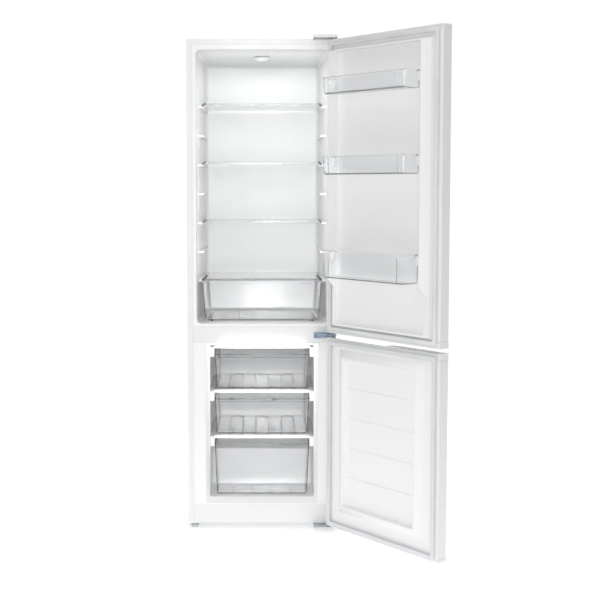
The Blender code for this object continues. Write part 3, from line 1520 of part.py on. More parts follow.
def pipes():
    """The discharge and suction tubes, the filter drier and the drain tube."""
    y = bay_middle()
    low = compressor_floor() + MOUNT_SHEET
    port = low + COMPRESSOR_HEIGHT / 2
    left = COMPRESSOR_X - COMPRESSOR_RADIUS - GAP
    step = PIPE_STEP
    end = (-CONDENSER_HALF_WIDTH - CONDENSER_BEND, condenser_y(), CONDENSER_BOTTOM - CONDENSER_LEAD - GAP)
    discharge = [
        (left, y + PORT_OFFSET, port),
        (left - 5 * step, y + PORT_OFFSET + step, port - step),
        (end[0] + 6 * step, y + 8 * step, port - 3 * step),
        (end[0] + step / 2, end[1] - step, port + step),
        (end[0], end[1], end[2] - 6 * step),
        end,
    ]
    tube("discharge_tube", discharge, PIPE_RADIUS, "copper", smooth=True)
    suction = [
        (left, y - PORT_OFFSET, port - SUCTION_DROP),
        (left - 6 * step, y - 4 * step, port - 3 * step),
        (DRAIN_X - 7 * step, y - 5 * step, port + 2 * step),
        (DRAIN_X - 8 * step, y - 5 * step, BAY_TOP - SHEET - 3 * GAP),
    ]
    tube("suction_tube", suction, PIPE_RADIUS, "copper", smooth=True)
    drier_x = -INSIDE_HALF + DRIER_RADIUS + GAP
    drier_y, drier_low = y + DRIER_BEHIND, low + DRIER_LIFT
    cylinder(
        "filter_drier",
        (drier_x, drier_y, drier_low),
        (drier_x, drier_y, drier_low + DRIER_LENGTH),
        DRIER_RADIUS,
        "copper",
    )
    tray_floor = compressor_top() + GAP + TRAY_WALL
    cylinder(
        "drain_tube",
        (DRAIN_X, drain_y(), tray_floor + TRAY_HEIGHT / 2),
        (DRAIN_X, drain_y(), BAY_TOP + 3 * DRAIN_RADIUS - GAP),
        DRAIN_RADIUS,
        "grey_plastic",
    )


# ---------------------------------------------------------------- assembly


def origin_place():
    """Moves the origin to the floor under the middle of the overall box, with both doors open."""
    cos_open, sin_open = math.cos(OPEN_ANGLE), math.sin(OPEN_ANGLE)

    def turned_x(x, y):
        return AXIS_X + x * cos_open - y * sin_open

    def turned_y(x, y):
        return AXIS_Y + x * sin_open + y * cos_open

    right = turned_x(DOOR_FREE_X, DOOR_OUTER_Y)
    front = turned_y(DOOR_FREE_X, HINGE_FROM_INNER_FACE)
    back = condenser_y() + CONDENSER_TUBE
    return (-(right - HALF_WIDTH) / 2, -(front + back) / 2, 0)


def build():
    """Builds every piece."""
    cabinet_shell()
    fridge_liner()
    freezer_liner()
    middle_rail()
    bottom_rail()
    base_plate()
    back_panel()
    cabinet_insulation()
    cold_plate_box("fridge_evaporator", 0, "galvanised")
    for index, word in enumerate(("shelf_lower", "shelf_middle", "shelf_upper"), start=1):
        shelf(word, CRISPER_COVER_Z + SHELF_PITCH * index, SHELF_FRONT)
    shelf("crisper_cover", CRISPER_COVER_Z, CRISPER_COVER_FRONT)
    crisper_drawer()
    lamp_and_dial()
    freezer_evaporator()
    for word, top in zip(("bottom", "middle", "top"), shelf_levels()):
        evaporator_trim(word, top)
    freezer_drawers()
    fridge_door()
    freezer_door()
    top_hinge()
    top_hinge_cover()
    middle_hinge()
    bottom_hinge()
    front_foot(-1, "left", BASE_HEIGHT)
    front_foot(1, "right", BASE_HEIGHT - GAP - BRACKET_SHEET)
    rear_roller(-1, "left")
    rear_roller(1, "right")
    compressor_mount()
    compressor()
    evaporation_tray()
    terminal_box()
    condenser()
    pipes()


clear_scene()
PARTS = new_collection("refrigerator")
CUTTERS = new_collection("cutters")
MATERIALS = make_materials()
ORIGIN = bpy.data.objects.new("refrigerator_origin", None)
PARTS.objects.link(ORIGIN)
ORIGIN.location = origin_place()
build()
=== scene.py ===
"""The finished look of a tall white refrigerator with its freezer below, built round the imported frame."""

import json
import logging
import math
from abc import ABC, abstractmethod
from collections.abc import Callable, Iterable
from dataclasses import dataclass, field
from enum import Enum
from functools import cache

import bmesh
import bpy
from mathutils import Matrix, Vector
from mathutils.bvhtree import BVHTree

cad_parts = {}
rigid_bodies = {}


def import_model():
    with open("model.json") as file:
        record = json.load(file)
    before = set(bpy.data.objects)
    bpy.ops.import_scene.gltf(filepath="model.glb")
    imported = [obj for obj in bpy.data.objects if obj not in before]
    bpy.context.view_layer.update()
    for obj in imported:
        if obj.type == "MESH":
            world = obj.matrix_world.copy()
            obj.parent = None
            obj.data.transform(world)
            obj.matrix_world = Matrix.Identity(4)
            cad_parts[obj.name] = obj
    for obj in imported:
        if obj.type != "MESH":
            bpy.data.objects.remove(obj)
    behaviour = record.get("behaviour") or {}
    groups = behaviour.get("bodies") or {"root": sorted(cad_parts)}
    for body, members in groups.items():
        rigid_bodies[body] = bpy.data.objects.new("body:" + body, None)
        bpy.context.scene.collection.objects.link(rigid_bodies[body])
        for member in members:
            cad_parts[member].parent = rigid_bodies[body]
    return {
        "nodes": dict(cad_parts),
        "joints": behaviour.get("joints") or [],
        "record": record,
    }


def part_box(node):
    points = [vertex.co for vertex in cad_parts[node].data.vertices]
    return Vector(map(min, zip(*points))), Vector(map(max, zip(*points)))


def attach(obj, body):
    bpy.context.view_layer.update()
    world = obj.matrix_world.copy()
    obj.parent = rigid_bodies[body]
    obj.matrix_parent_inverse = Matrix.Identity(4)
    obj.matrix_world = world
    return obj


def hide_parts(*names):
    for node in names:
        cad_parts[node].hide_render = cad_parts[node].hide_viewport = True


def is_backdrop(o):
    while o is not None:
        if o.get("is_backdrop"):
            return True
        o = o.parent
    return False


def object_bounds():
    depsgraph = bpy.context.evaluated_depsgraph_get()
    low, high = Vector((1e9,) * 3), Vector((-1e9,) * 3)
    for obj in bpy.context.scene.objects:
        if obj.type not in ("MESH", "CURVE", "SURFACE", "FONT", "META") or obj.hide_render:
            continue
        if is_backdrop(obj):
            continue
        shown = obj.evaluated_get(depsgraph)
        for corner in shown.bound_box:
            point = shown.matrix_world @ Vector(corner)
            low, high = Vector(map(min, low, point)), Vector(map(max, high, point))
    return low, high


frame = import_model()
CAD_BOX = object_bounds()
LOG = logging.getLogger("refrigerator")
MERGE = 1e-5
FLAT = math.radians(1)
SHARP = math.radians(28)
SEAL_SHARP = math.radians(50)
UP = Vector((0, 0, 1))
FACING_FRONT = Vector((math.pi / 2, 0, 0))
FACING_BACK = Vector((-math.pi / 2, 0, 0))
WHITE = (1.0, 1.0, 1.0, 1.0)
NODE_STEP = (220, -260)
NODES_IN_ROW = 8
NOISE_SPAN = (0.3, 0.7)
POINTED_SPAN = (0.52, 0.60)
HEAD_TOP, HEAD_HEIGHT = 0.62, 0.5
CROSS_LENGTH, CROSS_WIDTH, CROSS_RISE = 0.95, 0.22, 0.8
NOWHERE = (0.0, 0.0, 0.0)

Triple = tuple[float, float, float]
Span = tuple[float, float]
Node = bpy.types.Node
NodeTree = bpy.types.NodeTree
Socket = bpy.types.NodeSocket
Mesh = bpy.types.Mesh
Piece = bpy.types.Object


class Body(Enum):
    """The bodies that pieces ride on."""

    CABINET = "cabinet"
    FRIDGE_DOOR = "fridge_door"
    FREEZER_DOOR = "freezer_door"


class Slot(Enum):
    """The record's material slots."""

    ENAMEL = "enamel"
    LINER = "liner"
    WHITE_PLASTIC = "white_plastic"
    CLEAR_PLASTIC = "clear_plastic"
    GLASS = "glass"
    FOAM = "foam"
    SEAL = "seal"
    ZINC = "zinc"
    GALVANISED = "galvanised"
    BLACK_ENAMEL = "black_enamel"
    BLACK_PLASTIC = "black_plastic"
    GREY_PLASTIC = "grey_plastic"
    COPPER = "copper"
    LENS = "lens"


class Edge(Enum):
    """Which edges of a shape are rounded."""

    ALL = "all"
    CONVEX = "convex"
    CONCAVE = "concave"


# ---- node trees


class Bench:
    """Adds nodes to one tree and links them."""

    def __init__(self, tree: NodeTree) -> None:
        """Takes over a tree.

        Args:
            tree: The shader, world or geometry tree to fill.
        """
        self.tree = tree
        self.count = 0

    def join(self, value: object, target: Socket) -> None:
        """Links a socket to the target, or sets a plain value on it.

        Args:
            value: A socket, or a plain value.
            target: The input that takes it.
        """
        if isinstance(value, Socket):
            self.tree.links.new(value, target)
        else:
            target.default_value = value

    def add(self, kind: str, inputs: dict[str | int, object] | None = None, **settings: object) -> Node:
        """Adds one node, with its settings and inputs.

        Args:
            kind: The node's type.
            inputs: Values or sockets, by the input's name or index.
            **settings: The node's own properties.

        Returns:
            The new node.
        """
        node = self.tree.nodes.new(kind)
        row, place = divmod(self.count, NODES_IN_ROW)
        node.location = (NODE_STEP[0] * place, NODE_STEP[1] * row)
        self.count += 1
        for name, value in settings.items():
            setattr(node, name, value)
        for key, value in (inputs or {}).items():
            self.join(value, node.inputs[key])
        return node

    def math(self, operation: str, first: object, second: object = 0.0) -> Socket:
        """Adds a Math node and returns its result."""
        return self.add("ShaderNodeMath", {0: first, 1: second}, operation=operation).outputs[0]

    def mix(self, factor: object, first: object, second: object) -> Socket:
        """Adds a colour Mix node and returns its result."""
        return self.add("ShaderNodeMix", {0: factor, 6: first, 7: second}, data_type="RGBA").outputs[2]

    def noise(self, vector: Socket, scale: object, detail: float, roughness: float = 0.5) -> Socket:
        """Adds a noise and returns its height."""
        inputs = {"Vector": vector, "Scale": scale, "Detail": detail, "Roughness": roughness}
        return self.add("ShaderNodeTexNoise", inputs).outputs[0]

    def ramp(self, value: Socket, low: float, high: float, start: object = 0.0, end: object = 1.0) -> Socket:
        """Adds a Map Range from low and high to start and end, and returns its result."""
        return self.add("ShaderNodeMapRange", {0: value, 1: low, 2: high, 3: start, 4: end}).outputs[0]


class Group(Bench):
    """A node group with named inputs and outputs."""

    def __init__(
        self, name: str, inputs: dict[str, object], outputs: dict[str, str], kind: str = "ShaderNodeTree"
    ) -> None:
        """Makes the group with its sockets.

        Args:
            name: The group's name.
            inputs: Each input's default value, or its socket type where it has none, by name.
            outputs: Each output's socket type, by name.
            kind: The type of its tree.
        """
        super().__init__(bpy.data.node_groups.new(name, kind))
        self.ids: dict[str, str] = {}
        for label, value in inputs.items():
            kind = value if isinstance(value, str) else self.kind_of(value)
            socket = self.tree.interface.new_socket(label, in_out="INPUT", socket_type=kind)
            if kind != value:
                socket.default_value = value
            self.ids[label] = socket.identifier
        for label, kind in outputs.items():
            self.tree.interface.new_socket(label, in_out="OUTPUT", socket_type=kind)
        self.source = self.add("NodeGroupInput")
        self.sink = self.add("NodeGroupOutput")

    @staticmethod
    def kind_of(value: object) -> str:
        """Returns the type of the socket that holds a value.

        Args:
            value: A default value.

        Returns:
            The socket's type.
        """
        if isinstance(value, tuple):
            return "NodeSocketColor" if len(value) == len(WHITE) else "NodeSocketVector"
        return "NodeSocketInt" if isinstance(value, int) else "NodeSocketFloat"

    def given(self, label: str) -> Socket:
        """Returns the socket that brings one named input into the group."""
        return self.source.outputs[label]

    def put(self, label: str, value: Socket) -> None:
        """Links a socket to one of the group's outputs."""
        self.join(value, self.sink.inputs[label])

    def put_mask(self, mask: Socket, scale: float, detail: float) -> None:
        """Puts out a mask that a noise breaks up, times the group's amount."""
        broken = self.math("MULTIPLY", mask, self.noise(self.given("Vector"), scale, detail))
        self.put("Mask", self.math("MULTIPLY", broken, self.given("Amount")))


@cache
def tone_drift() -> NodeTree:
    """Builds a slow change between two close colours, as in sprayed or moulded surfaces.

    Returns:
        The group's tree.
    """
    colors = {"Color A": (0.9, 0.9, 0.9, 1.0), "Color B": (0.85, 0.85, 0.86, 1.0)}
    group = Group("tone_drift", {"Vector": NOWHERE, "Scale": 3.0, **colors}, {"Color": "NodeSocketColor"})
    share = group.ramp(group.noise(group.given("Vector"), group.given("Scale"), 2.0, 0.45), *NOISE_SPAN)
    group.put("Color", group.mix(share, group.given("Color A"), group.given("Color B")))
    return group.tree


@cache
def fine_grain() -> NodeTree:
    """Builds a fine skin: a height for a bump, and a roughness that changes with it.

    Returns:
        The group's tree.
    """
    inputs = {"Vector": NOWHERE, "Scale": 900.0, "Smoothest": 0.3, "Roughest": 0.4}
    group = Group("fine_grain", inputs, {"Height": "NodeSocketFloat", "Roughness": "NodeSocketFloat"})
    vector, scale = group.given("Vector"), group.given("Scale")
    fine = group.noise(vector, scale, 3.0)
    coarse = group.noise(vector, group.math("MULTIPLY", scale, 0.05), 4.0)
    group.put("Height", group.math("MULTIPLY", fine, group.math("ADD", coarse, 0.5)))
    span = (group.given("Smoothest"), group.given("Roughest"))
    group.put("Roughness", group.ramp(coarse, *NOISE_SPAN, *span))
    return group.tree


@cache
def settled_dust() -> NodeTree:
    """Builds a mask of thin, patchy dust on the faces that look up.

    Returns:
        The group's tree.
    """
    group = Group("settled_dust", {"Vector": NOWHERE, "Amount": 0.1}, {"Mask": "NodeSocketFloat"})
    normal = group.add("ShaderNodeNewGeometry").outputs["Normal"]
    upward = group.math("MAXIMUM", group.add("ShaderNodeSeparateXYZ", {0: normal}).outputs[2], 0.0)
    group.put_mask(upward, 38.0, 5.0)
    return group.tree


@cache
def edge_wear() -> NodeTree:
    """Builds a broken mask along convex edges.

    Returns:
        The group's tree.
    """
    group = Group("edge_wear", {"Vector": NOWHERE, "Amount": 0.3}, {"Mask": "NodeSocketFloat"})
    pointed = group.add("ShaderNodeNewGeometry").outputs["Pointiness"]
    group.put_mask(group.ramp(pointed, *POINTED_SPAN), 60.0, 6.0)
    return group.tree


@cache
def drawn_lines() -> NodeTree:
    """Builds fine lines along one direction, as rolling or drawing leaves in metal.

    Returns:
        The group's tree.
    """
    inputs = {"Vector": NOWHERE, "Stretch": (900.0, 900.0, 20.0)}
    group = Group("drawn_lines", inputs, {"Height": "NodeSocketFloat"})
    factors = {0: group.given("Vector"), 1: group.given("Stretch")}
    stretched = group.add("ShaderNodeVectorMath", factors, operation="MULTIPLY").outputs[0]
    group.put("Height", group.noise(stretched, 1.0, 4.0))
    return group.tree


# ---- finishes


class Surface(Bench):
    """A material's tree, with its Principled shader and object coordinates."""

    def __init__(self, material: bpy.types.Material) -> None:
        """Starts a material afresh.

        Args:
            material: The material to fill.
        """
        material.use_nodes = True
        super().__init__(material.node_tree)
        self.tree.nodes.clear()
        self.shader = self.add("ShaderNodeBsdfPrincipled")
        self.add("ShaderNodeOutputMaterial", {"Surface": self.shader.outputs[0]})
        self.vector = self.add("ShaderNodeTexCoord").outputs["Object"]

    def feed(self, label: str, value: object) -> None:
        """Links a socket to one of the shader's inputs, or sets a plain value there."""
        self.join(value, self.shader.inputs[label])

    def place(self, group: NodeTree, inputs: dict[str, object]) -> Node:
        """Places a node group on object coordinates, with its own values."""
        return self.add("ShaderNodeGroup", {"Vector": self.vector, **inputs}, node_tree=group)

    def tinted(self, color: Socket, mask: NodeTree, amount: float, tone: Triple) -> Socket:
        """Mixes a tone into a colour where a mask lies, and returns the colour."""
        share = self.place(mask, {"Amount": amount}).outputs["Mask"]
        return self.mix(share, color, (*tone, 1))

    def bump(self, height: Socket, finish: "Finish") -> None:
        """Adds a bump as deep as the finish's to the shader's normal."""
        inputs = {"Strength": finish.strength, "Distance": finish.depth, "Height": height}
        self.feed("Normal", self.add("ShaderNodeBump", inputs).outputs[0])

    def skin(self, finish: "Finish") -> None:
        """Adds the finish's grain to the shader's roughness and normal.

        Args:
            finish: Gives the grain's scale, roughness and depth.
        """
        smoothest, roughest = finish.rough
        inputs = {"Scale": finish.grain, "Smoothest": smoothest, "Roughest": roughest}
        grain = self.place(fine_grain(), inputs).outputs
        self.feed("Roughness", grain["Roughness"])
        self.bump(grain["Height"], finish)


@dataclass(frozen=True)
class Finish(ABC):
    """A surface finish that builds its material once."""

    name: str
    slot: Slot
    color: Triple
    shade: Triple
    drift_scale: float = 9.0
    grain: float = 420.0
    rough: Span = (0.42, 0.56)
    depth: float = 0.00006
    strength: float = 0.6

    def material(self) -> bpy.types.Material:
        """Returns the finish's material, which the first call builds.

        Returns:
            The material.
        """
        if self.name not in bpy.data.materials:
            self.dress(Surface(bpy.data.materials.new(self.name)))
        return bpy.data.materials[self.name]

    @abstractmethod
    def dress(self, surface: Surface) -> None:
        """Adds what feeds the surface's shader.

        Args:
            surface: The material's tree.
        """

    def drift(self, surface: Surface) -> Socket:
        """Adds the change between the finish's two colours and returns the colour."""
        inputs = {"Scale": self.drift_scale, "Color A": (*self.color, 1), "Color B": (*self.shade, 1)}
        return surface.place(tone_drift(), inputs).outputs["Color"]


@dataclass(frozen=True)
class Coated(Finish):
    """Paint or moulded plastic: colour drift, worn edges, dust and a skin."""

    worn: float = 0.0
    worn_tone: Triple = (0.70, 0.70, 0.71)
    dust: float = 0.12
    dust_tone: Triple = (0.55, 0.53, 0.50)
    coat: float = 0.0
    coat_rough: float = 0.12

    def dress(self, surface: Surface) -> None:
        """Adds the colour's layers, the skin and the clear coat.

        Args:
            surface: The material's tree.
        """
        color = self.drift(surface)
        if self.worn:
            color = surface.tinted(color, edge_wear(), self.worn, self.worn_tone)
        surface.feed("Base Color", surface.tinted(color, settled_dust(), self.dust, self.dust_tone))
        surface.skin(self)
        if self.coat:
            surface.feed("Coat Weight", self.coat)
            surface.feed("Coat Roughness", self.coat_rough)


@dataclass(frozen=True)
class WhiteCoat(Coated):
    """White paint or white formed plastic: a satin coat with a fine skin and a little dust."""

    drift_scale: float = 2.6
    grain: float = 700.0
    rough: Span = (0.28, 0.36)
    depth: float = 0.00004
    worn: float = 0.12
    dust: float = 0.06
    dust_tone: Triple = (0.62, 0.60, 0.57)
    coat: float = 0.2


@dataclass(frozen=True)
class Moulded(Coated):
    """Opaque moulded plastic or rubber with a matt grain."""


@dataclass(frozen=True)
class DarkPaint(Coated):
    """Black dipped paint on steel, dusty on top and worn to grey along its edges."""

    drift_scale: float = 18.0
    grain: float = 260.0
    rough: Span = (0.26, 0.42)
    depth: float = 0.00008
    worn: float = 0.5
    worn_tone: Triple = (0.22, 0.22, 0.22)
    dust: float = 0.35
    dust_tone: Triple = (0.38, 0.36, 0.33)


@dataclass(frozen=True)
class Clear(Finish):
    """Clear plastic or glass that lets most light through to what stands behind it."""

    drift_scale: float = 14.0
    grain: float = 160.0
    rough: Span = (0.03, 0.08)
    depth: float = 0.00001
    index: float = 1.46
    passed: float = 0.85

    def dress(self, surface: Surface) -> None:
        """Adds a faint flow pattern, and lets shadow rays through.

        Args:
            surface: The material's tree.
        """
        surface.feed("Base Color", self.drift(surface))
        surface.skin(self)
        surface.feed("Transmission Weight", 1.0)
        surface.feed("IOR", self.index)
        shadow = surface.add("ShaderNodeLightPath").outputs["Is Shadow Ray"]
        surface.feed("Alpha", surface.math("SUBTRACT", 1.0, surface.math("MULTIPLY", shadow, self.passed)))


@dataclass(frozen=True)
class Metal(Finish):
    """Bare, plated or galvanised metal with rolled lines and mottling."""

    drift_scale: float = 24.0
    rough: Span = (0.24, 0.42)
    depth: float = 0.00004
    strength: float = 0.5
    stretch: Triple = (700.0, 700.0, 26.0)
    spangle: float = 0.0
    crystal: float = 0.35
    worn: float = 0.5
    worn_tone: Triple = (0.80, 0.80, 0.80)

    def dress(self, surface: Surface) -> None:
        """Adds mottled colour, drawn lines and, on galvanised sheet, crystals.

        Args:
            surface: The material's tree.
        """
        color = self.drift(surface)
        if self.spangle:
            cells = surface.add("ShaderNodeTexVoronoi", {"Vector": surface.vector, "Scale": self.spangle})
            tone = surface.add("ShaderNodeSeparateColor", {0: cells.outputs["Color"]}).outputs[0]
            color = surface.mix(surface.math("MULTIPLY", tone, self.crystal), color, (*self.shade, 1))
        surface.feed("Base Color", surface.tinted(color, edge_wear(), self.worn, self.worn_tone))
        surface.feed("Metallic", 1.0)
        lines = surface.place(drawn_lines(), {"Stretch": self.stretch}).outputs["Height"]
        surface.feed("Roughness", surface.ramp(lines, *NOISE_SPAN, *self.rough))
        surface.bump(lines, self)


@dataclass(frozen=True)
class Foamed(Finish):
    """Rigid foam: cells of many sizes in a pale yellow skin."""

    drift_scale: float = 30.0
    depth: float = 0.0004
    strength: float = 0.7
    matt: float = 0.9

    def dress(self, surface: Surface) -> None:
        """Adds colour drift and a cell pattern to the normal.

        Args:
            surface: The material's tree.
        """
        surface.feed("Base Color", self.drift(surface))
        surface.feed("Roughness", self.matt)
        cells = surface.add("ShaderNodeTexVoronoi", {"Vector": surface.vector, "Scale": self.grain})
        surface.bump(cells.outputs["Distance"], self)


@dataclass(frozen=True)
class Frosted(Finish):
    """The lamp's frosted lens, which glows a little."""

    drift_scale: float = 60.0
    grain: float = 500.0
    rough: Span = (0.3, 0.4)
    depth: float = 0.0001
    glow: float = 0.35

    def dress(self, surface: Surface) -> None:
        """Adds fine prisms and a faint glow.

        Args:
            surface: The material's tree.
        """
        color = self.drift(surface)
        for label in ("Base Color", "Emission Color"):
            surface.feed(label, color)
        surface.feed("Emission Strength", self.glow)
        surface.skin(self)


@dataclass(frozen=True)
class StudioFloor(Finish):
    """The pale studio floor, which fades into the backdrop's white."""

    drift_scale: float = 0.8
    grain: float = 60.0
    rough: Span = (0.75, 0.85)
    depth: float = 0.0001
    fade: Span = (1.5, 3.8)
    glow: float = 0.42

    def dress(self, surface: Surface) -> None:
        """Adds a faint drift and a round fade.

        Args:
            surface: The material's tree.
        """
        surface.feed("Base Color", self.drift(surface))
        surface.skin(self)
        surface.feed("Emission Color", WHITE)
        surface.feed("Emission Strength", self.glow)
        length = surface.add("ShaderNodeVectorMath", {0: surface.vector}, operation="LENGTH")
        surface.feed("Alpha", surface.ramp(length.outputs["Value"], *self.fade, 1.0, 0.0))


ENAMEL = WhiteCoat("white_enamel", Slot.ENAMEL, (0.89, 0.89, 0.895), (0.865, 0.866, 0.872))
LINER = WhiteCoat(
    "formed_liner", Slot.LINER, (0.955, 0.958, 0.962), (0.935, 0.94, 0.945),
    grain=380.0, rough=(0.30, 0.40), depth=0.00006, coat=0.15, dust=0.04,
)
WHITE_PLASTIC = WhiteCoat(
    "white_moulding", Slot.WHITE_PLASTIC, (0.88, 0.885, 0.89), (0.85, 0.856, 0.862),
    grain=520.0, rough=(0.32, 0.44), depth=0.00005, coat=0.1,
)
# The evaporator's tubes are white-coated; this mid grey is painted shade for the shadow they lie in.
SHADED_TUBE_PAINT = WhiteCoat(
    "shaded_tube_paint", Slot.GALVANISED, (0.60, 0.605, 0.61), (0.54, 0.546, 0.552), grain=300.0
)
CLEAR_PLASTIC = Clear(
    "clear_moulding", Slot.CLEAR_PLASTIC, (0.99, 0.992, 0.994), (0.97, 0.974, 0.978),
    rough=(0.04, 0.10), index=1.33, passed=0.94,
)
GLASS = Clear(
    "toughened_glass", Slot.GLASS, (0.97, 0.99, 0.985), (0.95, 0.975, 0.97),
    rough=(0.01, 0.02), depth=0.000002, index=1.5,
)
MILKY = Clear(
    "milky_moulding", Slot.WHITE_PLASTIC, (0.94, 0.945, 0.95), (0.90, 0.91, 0.92),
    rough=(0.18, 0.28), depth=0.00003, index=1.35, passed=0.7,
)
SMOKED = Clear(
    "smoked_moulding", Slot.CLEAR_PLASTIC, (0.62, 0.64, 0.66), (0.56, 0.58, 0.60), rough=(0.08, 0.14)
)
FOAM = Foamed("rigid_foam", Slot.FOAM, (0.80, 0.73, 0.53), (0.72, 0.63, 0.42))
SEAL = Moulded(
    "seal_vinyl", Slot.SEAL, (0.80, 0.81, 0.825), (0.74, 0.75, 0.765),
    grain=300.0, rough=(0.48, 0.60), depth=0.00005, dust=0.1,
)
PALE_FOOT = Moulded("pale_foot", Slot.GREY_PLASTIC, (0.66, 0.67, 0.69), (0.58, 0.59, 0.61))
# Near-black: the sensor clips' own colour, and on the shelves' end struts painted shade for the shadow line
# at the trims' ends.
DARK_CLIP_AND_SHADE = Moulded("dark_clip_and_shade", Slot.GREY_PLASTIC, (0.085, 0.09, 0.10), (0.06, 0.064, 0.07))
GREY_PLASTIC = Moulded("grey_moulding", Slot.GREY_PLASTIC, (0.50, 0.51, 0.53), (0.44, 0.45, 0.47))
BLACK_PLASTIC = Moulded(
    "black_moulding", Slot.BLACK_PLASTIC, (0.028, 0.028, 0.030), (0.040, 0.040, 0.042)
)
BLACK_ENAMEL = DarkPaint(
    "black_dip_paint", Slot.BLACK_ENAMEL, (0.020, 0.020, 0.022), (0.030, 0.030, 0.032)
)
ZINC = Metal("blue_zinc", Slot.ZINC, (0.26, 0.33, 0.42), (0.15, 0.20, 0.27))
PALE_ZINC = Metal("pale_zinc", Slot.ZINC, (0.60, 0.62, 0.65), (0.48, 0.50, 0.53))
SCREW_STEEL = Metal(
    "screw_steel", Slot.ZINC, (0.62, 0.64, 0.67), (0.48, 0.50, 0.53), rough=(0.2, 0.34)
)
GALVANISED = Metal(
    "galvanised_sheet", Slot.GALVANISED, (0.66, 0.68, 0.69), (0.52, 0.54, 0.55),
    rough=(0.34, 0.52), stretch=(60.0, 60.0, 60.0), spangle=55.0,
)
COPPER = Metal("drawn_copper", Slot.COPPER, (0.80, 0.42, 0.27), (0.52, 0.25, 0.15), rough=(0.22, 0.44))
LENS = Frosted("frosted_lens", Slot.LENS, (0.95, 0.95, 0.93), (0.90, 0.90, 0.88))
FLOOR = StudioFloor("studio_floor", Slot.ENAMEL, (0.93, 0.93, 0.93), (0.915, 0.915, 0.918))

SLOT_FINISHES = (ENAMEL, LINER, WHITE_PLASTIC, CLEAR_PLASTIC, GLASS, FOAM, SEAL, ZINC, GALVANISED)
DARK_FINISHES = (BLACK_ENAMEL, BLACK_PLASTIC, GREY_PLASTIC, COPPER, LENS)
FINISHES = {finish.slot: finish for finish in SLOT_FINISHES + DARK_FINISHES}


# ---- pieces


def body_of(node: str) -> str:
    """Returns the body that holds a CAD node."""
    bodies = frame["record"]["behaviour"]["bodies"]
    return next(body for body, members in bodies.items() if node in members)


def slot_of(node: str) -> Slot:
    """Returns the material slot that the record gives a CAD node."""
    parts = frame["record"]["subparts"]
    return Slot(next(part["material_slot"] for part in parts if part["node"] == node))


def linked_object(name: str, data: object) -> Piece:
    """Links a new object that holds a mesh, a light or a camera.

    Args:
        name: The object's name.
        data: What it holds.

    Returns:
        The new object.
    """
    linked = bpy.data.objects.new(name, data)
    bpy.context.scene.collection.objects.link(linked)
    return linked


def mesh_from(bm: bmesh.types.BMesh, name: str) -> Mesh:
    """Turns a bmesh into a new mesh and frees it.

    Args:
        bm: The shape.
        name: The mesh's name.

    Returns:
        The new mesh.
    """
    mesh = bpy.data.meshes.new(name)
    bm.to_mesh(mesh)
    bm.free()
    return mesh


def plain_mesh(host: Piece) -> Mesh:
    """Evaluates an object's modifiers into a plain mesh and removes the object.

    Args:
        host: The object.

    Returns:
        The evaluated mesh.
    """
    bpy.context.view_layer.update()
    graph = bpy.context.evaluated_depsgraph_get()
    evaluated = host.evaluated_get(graph)
    mesh = bpy.data.meshes.new_from_object(evaluated, preserve_all_data_layers=True, depsgraph=graph)
    bpy.data.objects.remove(host)
    return mesh


def add_piece(name: str, mesh: Mesh, finish: Finish, body: str) -> Piece:
    """Makes a finished mesh a piece of the object.

    Args:
        name: The piece's name.
        mesh: Its mesh, with its place in its vertices.
        finish: Its finish.
        body: The body that it moves with.

    Returns:
        The new object.
    """
    mesh.materials.clear()
    mesh.materials.append(finish.material())
    piece = linked_object(name, mesh)
    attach(piece, body)
    LOG.info("%s: %d faces on %s", name, len(mesh.polygons), body)
    return piece


@dataclass(frozen=True)
class Rounding:
    """How the edges of a shape are rounded."""

    width: float
    segments: int = 2
    edges: Edge = Edge.ALL
    above: Callable[[Vector], bool] | None = None

    def chosen(self, edge: bmesh.types.BMEdge) -> bool:
        """Tells whether an edge is rounded.

        Args:
            edge: An edge of the shape.

        Returns:
            Whether the rounding takes it.
        """
        if not edge.is_manifold or edge.calc_face_angle(0) < SHARP:
            return False
        if self.edges is Edge.CONVEX and not edge.is_convex:
            return False
        if self.edges is Edge.CONCAVE and edge.is_convex:
            return False
        return self.above is None or all(self.above(vert.co) for vert in edge.verts)

    def applied(self, mesh: Mesh) -> Mesh:
        """Rounds the chosen edges of a mesh and returns the new mesh.

        Args:
            mesh: The shape before it is rounded.

        Returns:
            The rounded mesh.
        """
        bm = bmesh.new()
        bm.from_mesh(mesh)
        layers = bm.edges.layers.float
        weights = layers.get("bevel_weight_edge") or layers.new("bevel_weight_edge")
        for edge in bm.edges:
            edge[weights] = 1.0 if self.chosen(edge) else 0.0
        bm.to_mesh(mesh)
        bm.free()
        mesh.shade_smooth()
        mesh.set_sharp_from_angle(angle=SHARP)
        host = linked_object("rounding_host", mesh)
        bevel = host.modifiers.new("rounding", "BEVEL")
        bevel.limit_method = "WEIGHT"
        bevel.width = self.width
        bevel.segments = self.segments
        bevel.use_clamp_overlap = True
        even = host.modifiers.new("even_normals", "WEIGHTED_NORMAL")
        even.mode = "FACE_AREA"
        even.weight = 100
        even.keep_sharp = True
        return plain_mesh(host)


BRACKET = Rounding(0.0005)
FOLDED = Rounding(0.0006)
SHEET = Rounding(0.0007)
CAP = Rounding(0.0008)
CLEAR_MOULDING = Rounding(0.0008, 3)
SHELL = Rounding(0.0009, 3)
SHELF_TRIM = Rounding(0.0012, 3)
EVAPORATOR_TRIM = Rounding(0.0014, 3)


def merged_copy(node: str) -> Mesh:
    """Copies a CAD node's mesh, with its loose triangles joined and its flat faces made whole.

    Args:
        node: The CAD node.

    Returns:
        The copy's mesh.
    """
    bm = bmesh.new()
    bm.from_mesh(frame["nodes"][node].data)
    bmesh.ops.remove_doubles(bm, verts=bm.verts, dist=MERGE)
    bmesh.ops.dissolve_limit(bm, angle_limit=FLAT, verts=bm.verts, edges=bm.edges)
    return mesh_from(bm, f"{node}_shape")


